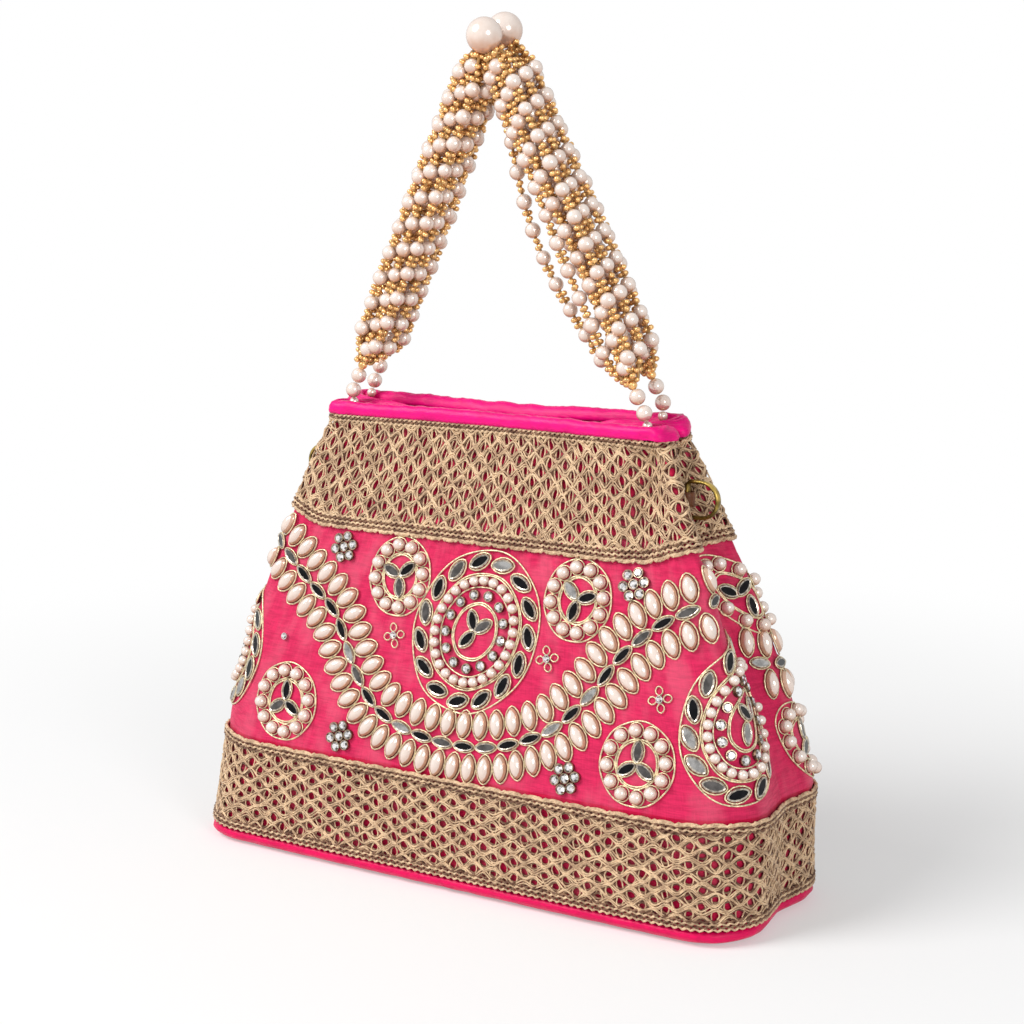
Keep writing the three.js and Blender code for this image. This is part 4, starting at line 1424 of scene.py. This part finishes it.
class POTLI_OT_handles(bpy.types.Operator):
    """Two handles of pearl and seed bead strands under a large pearl each"""

    bl_idname = "potli.handles"
    bl_label = "Pearl handles"

    STRANDS = ((-6.3, -1), (-4.2, 1), (-2.1, -1), (0.0, 1), (2.1, -1), (4.2, 1), (6.3, -1))
    STAGGER = 2.1

    def execute(self, context):
        sizes = context.scene.potli_sizes
        self.pearl = (round_pearl(sizes.handle_pearl / MM, 14, 9), ["bag_pearl"])
        self.seed = (round_pearl(sizes.seed / MM, 8, 5, 0.8), ["bag_seed"])
        self.pitch = sizes.handle_pitch / MM
        for word, side_y in (("front", FRONT), ("rear", REAR)):
            body = f"{word}_handle"
            apex = Cluster()
            place = Matrix.Translation(Leg(1, side_y).apex * MM)
            apex.add((round_pearl(APEX_RADIUS, 32, 20), ["bag_pearl"]), place)
            apex.finish(f"{word}_apex", body, "pearl", [f"{word}_apex_pearl"])
            for side_x, side in ((-1, "left"), (1, "right")):
                self.leg(word, side, Leg(side_x, side_y), body)
        return {"FINISHED"}

    def leg(self, word, side, leg, body):
        ends = Cluster()
        big = (round_pearl(END_PEARL_RADIUS, 20, 12), ["bag_pearl"])
        small = (round_pearl(1.6, 12, 8), ["bag_seed"])
        for distance, shape in ((0, big), (5.6, big), (9.6, small)):
            ends.add(shape, Matrix.Translation((leg.foot + leg.rise * distance) * MM))
        ends.finish(f"{word}_{side}_ends", body, "pearl", [f"{word}_{side}_end_pearls"])
        anchor = Cluster()
        height = leg.foot.z - END_PEARL_RADIUS - ANCHOR_GAP
        place = Vector((leg.foot.x + leg.side_x * 0.6, leg.side_y * ANCHOR_DEPTH, height))
        anchor.add((round_pearl(ANCHOR_RADIUS, 16, 10), ["bag_pearl"]), Matrix.Translation(place * MM))
        anchor.finish(f"{word}_{side}_anchor", "root", "pearl", [f"{word}_{side}_anchor_pearl"])
        strands = Cluster()
        dice = random.Random(f"{word}{side}")
        for index, (across, way) in enumerate(self.STRANDS):
            loose = word == "front" and side == "right" and index == 0
            stagger = way * self.STAGGER * leg.side_y
            self.strand(strands, leg, (index, across, stagger, loose), dice)
        nodes = [f"{word}_{side}_strand_{k}" for k in range(1, 5)]
        strands.finish(f"{word}_{side}_strands", body, "pearl", nodes)

    def strand(self, strands, leg, lay, dice):
        """Pearls a pitch apart with two pairs of seed beads between them, on one thread."""
        length = leg.end - leg.start
        step = length / round(length / self.pitch)
        shift = (0.14 * lay[0] + dice.uniform(0, 0.12)) % 1 * step
        thread = [leg.strand(*lay, leg.start + length * k / 30) for k in range(31)]
        line = np.array(thread) * MM
        strands.add_mesh(tubes([(line, False)], THREAD_RADIUS * MM), "bag_thread_shaded")
        distance = leg.start + shift - step
        seeds = []
        while distance < leg.end:
            crowded = leg.spread(distance) < 0.62
            if leg.start <= distance:
                if crowded:
                    seeds += [distance - 1.5, distance + 1.5]
                else:
                    size = dice.uniform(0.93, 1.05)
                    place = leg.strand(*lay, distance)
                    strands.add(self.pearl, bead_matrix(place, leg.direction, size))
            seeds += [distance + step / 2 - 1.05, distance + step / 2 + 1.05]
            distance += step
        for at in seeds:
            if not leg.start - 0.5 <= at <= leg.end + 0.5:
                continue
            place = leg.strand(*lay, at)
            angle = dice.uniform(0, math.pi)
            aside = leg.outward * math.cos(angle) + Vector((0, 1, 0)) * math.sin(angle)
            for way in (-1, 1):
                strands.add(self.seed, bead_matrix(place + aside * way * 0.95, leg.direction))


# D-rings


class POTLI_OT_rings(bpy.types.Operator):
    """Brass D-rings and the satin tabs that hold them in the gusset creases"""

    bl_idname = "potli.rings"
    bl_label = "D-rings"

    TAB_SECTION = ((1, -2.3), (1, -0.8), (1.15, 0), (1, 0.8), (1, 2.3), (-1, 2.3), (-1, 0), (-1, -2.3))

    def execute(self, context):
        for word, side in (("right", 1), ("left", -1)):
            self.ring(word, side)
            self.tab(word, side)
        return {"FINISHED"}

    def ring(self, word, side):
        """A flat strip bent into a D, its edges rounded."""
        half = RING_SPAN / 2 - RING_HALF_THICK
        reach = RING_REACH - RING_HALF_THICK - half
        path = [Vector((0, 0, z)) for z in np.linspace(half - 1, -half + 1, 5)]
        path += [Vector((x, 0, -half)) for x in (0.9, reach * 0.5, reach)]
        bend = np.linspace(0.2, math.pi - 0.2, 14)
        path += [Vector((reach + half * math.sin(a), 0, -half * math.cos(a))) for a in bend]
        path += [Vector((x, 0, half)) for x in (reach, reach * 0.5, 0.9)]
        rings = []
        for before, point, after in zip(path[-1:] + path[:-1], path, path[1:] + path[:1]):
            way = (after - before).normalized()
            out = way.cross(Vector((0, 1, 0))).normalized()
            section = []
            for k in range(10):
                angle = (k + 0.5) / 10 * 2 * math.pi
                thick = math.copysign(abs(math.cos(angle)) ** 0.6, math.cos(angle)) * RING_HALF_THICK
                wide = math.copysign(abs(math.sin(angle)) ** 0.6, math.sin(angle)) * RING_HALF_WIDE
                section.append(point + out * thick + Vector((0, 1, 0)) * wide)
            placed = [((p.x + RING_BAR_X) * side, p.y, p.z + RING_HEIGHT) for p in section]
            rings.append([Vector(place) * MM for place in placed])
        body = f"{word}_ring"
        piece(f"{word}_dee", lofted(rings, closed=True), ["bag_brass"], body, "brass", [body])

    def tab(self, word, side):
        """A strip of satin folded round the ring's bar, both ends running into the crease."""
        low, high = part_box(f"{word}_ring_tab")
        tail = (RING_BAR_X * MM - min(abs(low.x), abs(high.x))) / MM
        path = [(-tail, 0.28), (-tail * 0.75, 0.3)]
        loop = np.linspace(math.pi - 0.5, -math.pi + 0.5, 20)
        path += [(TAB_LOOP_RADIUS * math.cos(a), TAB_LOOP_RADIUS * math.sin(a)) for a in loop]
        path += [(-tail * 0.75, -0.3), (-tail, -0.28)]
        outer = [Vector((x, y, 0)) for x, y in path]
        rings = []
        for i, point in enumerate(outer):
            before = outer[max(0, i - 1)]
            after = outer[min(len(outer) - 1, i + 1)]
            way = (after - before).normalized()
            out = Vector((-way.y, way.x, 0)) * TAB_HALF_THICK
            section = []
            for grow, z in self.TAB_SECTION:
                place = point + out * grow
                section.append(Vector(((place.x + RING_BAR_X) * side, place.y, RING_HEIGHT + z)) * MM)
            rings.append(section)
        piece(f"{word}_tab", lofted(rings), ["bag_tab_shaded"], "root", "satin", [f"{word}_ring_tab"])


# Stage


class POTLI_OT_stage(bpy.types.Operator):
    """Pale floor, soft lamps, white surroundings and the camera"""

    bl_idname = "potli.stage"
    bl_label = "Stage"

    def execute(self, context):
        self.floor(context)
        self.surroundings(context)
        self.lamp(context, "key_lamp", KEY_LAMP_PLACE, 24, 0.95)
        self.lamp(context, "fill_lamp", FILL_LAMP_PLACE, 6, 0.5)
        self.camera(context)
        return {"FINISHED"}

    def floor(self, context):
        """Paper that takes the bag's shadow near it and runs out into plain white."""
        bm = bmesh.new()
        bmesh.ops.create_grid(bm, x_segments=2, y_segments=2, size=6)
        mesh = bpy.data.meshes.new("floor")
        bm.to_mesh(mesh)
        bm.free()
        floor = bpy.data.objects.new("floor", mesh)
        context.scene.collection.objects.link(floor)
        made = Recipe("floor_paper", roughness=0.9, specular_ior_level=0.1)
        grain = made.noise(made.object_place(), 3, 2.0)
        made.set(base_color=made.blend((0.93, 0.93, 0.93), (0.96, 0.96, 0.96), grain))
        glow = made.node("ShaderNodeEmission", {}, {"Color": (1, 1, 1), "Strength": 1.0})
        distance = made.node("ShaderNodeVectorMath", {"operation": "LENGTH"}, {0: made.object_place()})
        reach = Value(made, distance.outputs["Value"])
        share = made.seen_directly() * (reach.between(0.1, 0.5) * 0.65 + 0.35)
        inputs = {0: share, 1: made.shader.outputs[0], 2: glow.outputs[0]}
        both = made.node("ShaderNodeMixShader", {}, inputs)
        made.feed(made.output.inputs["Surface"], both.outputs[0])
        mesh.materials.append(made.material)

    def surroundings(self, context):
        """White where it is seen directly, and dimmer as soft light."""
        world = bpy.data.worlds.new("studio")
        context.scene.world = world
        world.use_nodes = True
        made = Nodes(world.node_tree)
        level = made.seen_directly() * (1 - WORLD_LEVEL) + WORLD_LEVEL
        light = made.node("ShaderNodeBackground", {}, {"Color": (1, 1, 1), "Strength": level})
        made.node("ShaderNodeOutputWorld", {}, {"Surface": light.outputs[0]})

    def lamp(self, context, name, place, power, size):
        data = bpy.data.lights.new(name, "AREA")
        data.energy = power
        data.shape = "DISK"
        data.size = size
        lamp = bpy.data.objects.new(name, data)
        lamp.location = place
        lamp.rotation_euler = (Vector(LAMP_TARGET) - Vector(place)).to_track_quat("-Z", "Y").to_euler()
        context.scene.collection.objects.link(lamp)

    def camera(self, context):
        data = bpy.data.cameras.new("camera")
        data.lens = CAMERA_LENS
        data.sensor_width = CAMERA_SENSOR
        camera = bpy.data.objects.new("camera", data)
        place = Vector(CAMERA_PLACE) * MM
        camera.location = place
        camera.rotation_euler = (Vector(CAMERA_TARGET) * MM - place).to_track_quat("-Z", "Y").to_euler()
        context.scene.collection.objects.link(camera)
        context.scene.camera = camera
        context.scene.view_settings.view_transform = "Standard"


# Sizes, colours and the sidebar


def length(name, description, default):
    return FloatProperty(name=name, description=description, default=default, unit="LENGTH", precision=5)


def paint(name, description, code):
    return FloatVectorProperty(name=name, description=description, default=painted(code), subtype="COLOR",
                               size=3, min=0, max=1)


class PotliSizes(bpy.types.PropertyGroup):
    """Sizes of the trims, in metres"""

    pearl: length("Pearl radius", "Round pearls of the embroidery", 0.0021)
    handle_pearl: length("Handle pearl radius", "Pearls of the handle strands", 0.00252)
    handle_pitch: length("Handle pitch", "From pearl to pearl along a strand", 0.0095)
    seed: length("Seed bead radius", "Gold beads between the handle pearls", 0.00112)
    wire: length("Wire radius", "Pale gold wire round the motifs", 0.0003)
    lace_cord: length("Lace cord radius", "Cords of the lace net", 0.00028)
    lace_backing: length("Lace backing cord radius", "Dark cords behind the net", 0.0004)
    lace_braid: length("Braid cord radius", "Cords of the braided lace edges", 0.00046)
    lace_eye: length("Lace eye", "Half the width of a gap in the lace net", 0.0011)
    garland_reach: length("Garland reach", "From the line of mirrors to the middle of the pearls", 0.0068)
    garland_pitch: length("Garland pitch", "From pearl to pearl along the garland", 0.0061)


class PotliColours(bpy.types.PropertyGroup):
    """Colours of the bag"""

    silk: paint("Silk", "Slubby silk of the body", "#D82459")
    # Deeper red cloth under the lace, darkened partly by painted shade.
    ground_and_shade: paint("Ground", "Cloth under the lace", "#D00844")
    satin: paint("Satin", "Binding and lining", "#F5007F")
    base: paint("Base", "Padded base", "#E6005A")
    # Pale lace threads, partly painted highlight; lace_shadow is the painted shade between and under the
    # cords.
    lace: paint("Lace", "Light threads of the lace", "#E9C9A2")
    lace_shadow: paint("Lace shadow", "Dark threads of the lace", "#70442C")
    pearl: paint("Pearl", "Round pearls", "#EEE1D8")
    # Painted shade of the pearls: peach on their undersides and round the pointed pearls' rims.
    pearl_shade: paint("Blush", "Warm tone of the pearls", "#CC9A7C")
    wire: paint("Wire", "Wire round the motifs", "#F0DDB4")
    seed: paint("Seed beads", "Gold beads of the handles", "#F8C27C")
    brass: paint("Brass", "D-rings", "#B59A52")


BUILDERS = (
    POTLI_OT_stage, POTLI_OT_silk, POTLI_OT_lining, POTLI_OT_base, POTLI_OT_binding, POTLI_OT_lace,
    POTLI_OT_round_motifs, POTLI_OT_oval_motifs, POTLI_OT_stones, POTLI_OT_garlands, POTLI_OT_handles,
    POTLI_OT_rings,
)


class POTLI_PT_sidebar(bpy.types.Panel):
    """Sizes, colours and builders of the bag"""

    bl_idname = "POTLI_PT_sidebar"
    bl_label = "Potli Bag"
    bl_space_type = "VIEW_3D"
    bl_region_type = "UI"
    bl_category = "Potli Bag"

    def draw(self, context):
        layout = self.layout
        for group in (context.scene.potli_sizes, context.scene.potli_colours):
            for name in group.__annotations__:
                layout.prop(group, name)
        for builder in BUILDERS:
            layout.operator(builder.bl_idname)


CLASSES = (PotliSizes, PotliColours, *BUILDERS, POTLI_PT_sidebar)


def register():
    for item in CLASSES:
        bpy.utils.register_class(item)
    bpy.types.Scene.potli_sizes = PointerProperty(type=PotliSizes)
    bpy.types.Scene.potli_colours = PointerProperty(type=PotliColours)


def unregister():
    del bpy.types.Scene.potli_colours
    del bpy.types.Scene.potli_sizes
    for item in reversed(CLASSES):
        bpy.utils.unregister_class(item)


def main():
    register()
    bpy.ops.potli.stage()
    bpy.ops.potli.silk()
    bpy.ops.potli.lining()
    bpy.ops.potli.base()
    bpy.ops.potli.binding()
    bpy.ops.potli.lace()
    bpy.ops.potli.round_motifs()
    bpy.ops.potli.oval_motifs()
    bpy.ops.potli.stones()
    bpy.ops.potli.garlands()
    bpy.ops.potli.handles()
    bpy.ops.potli.rings()


if __name__ == "__main__":
    main()
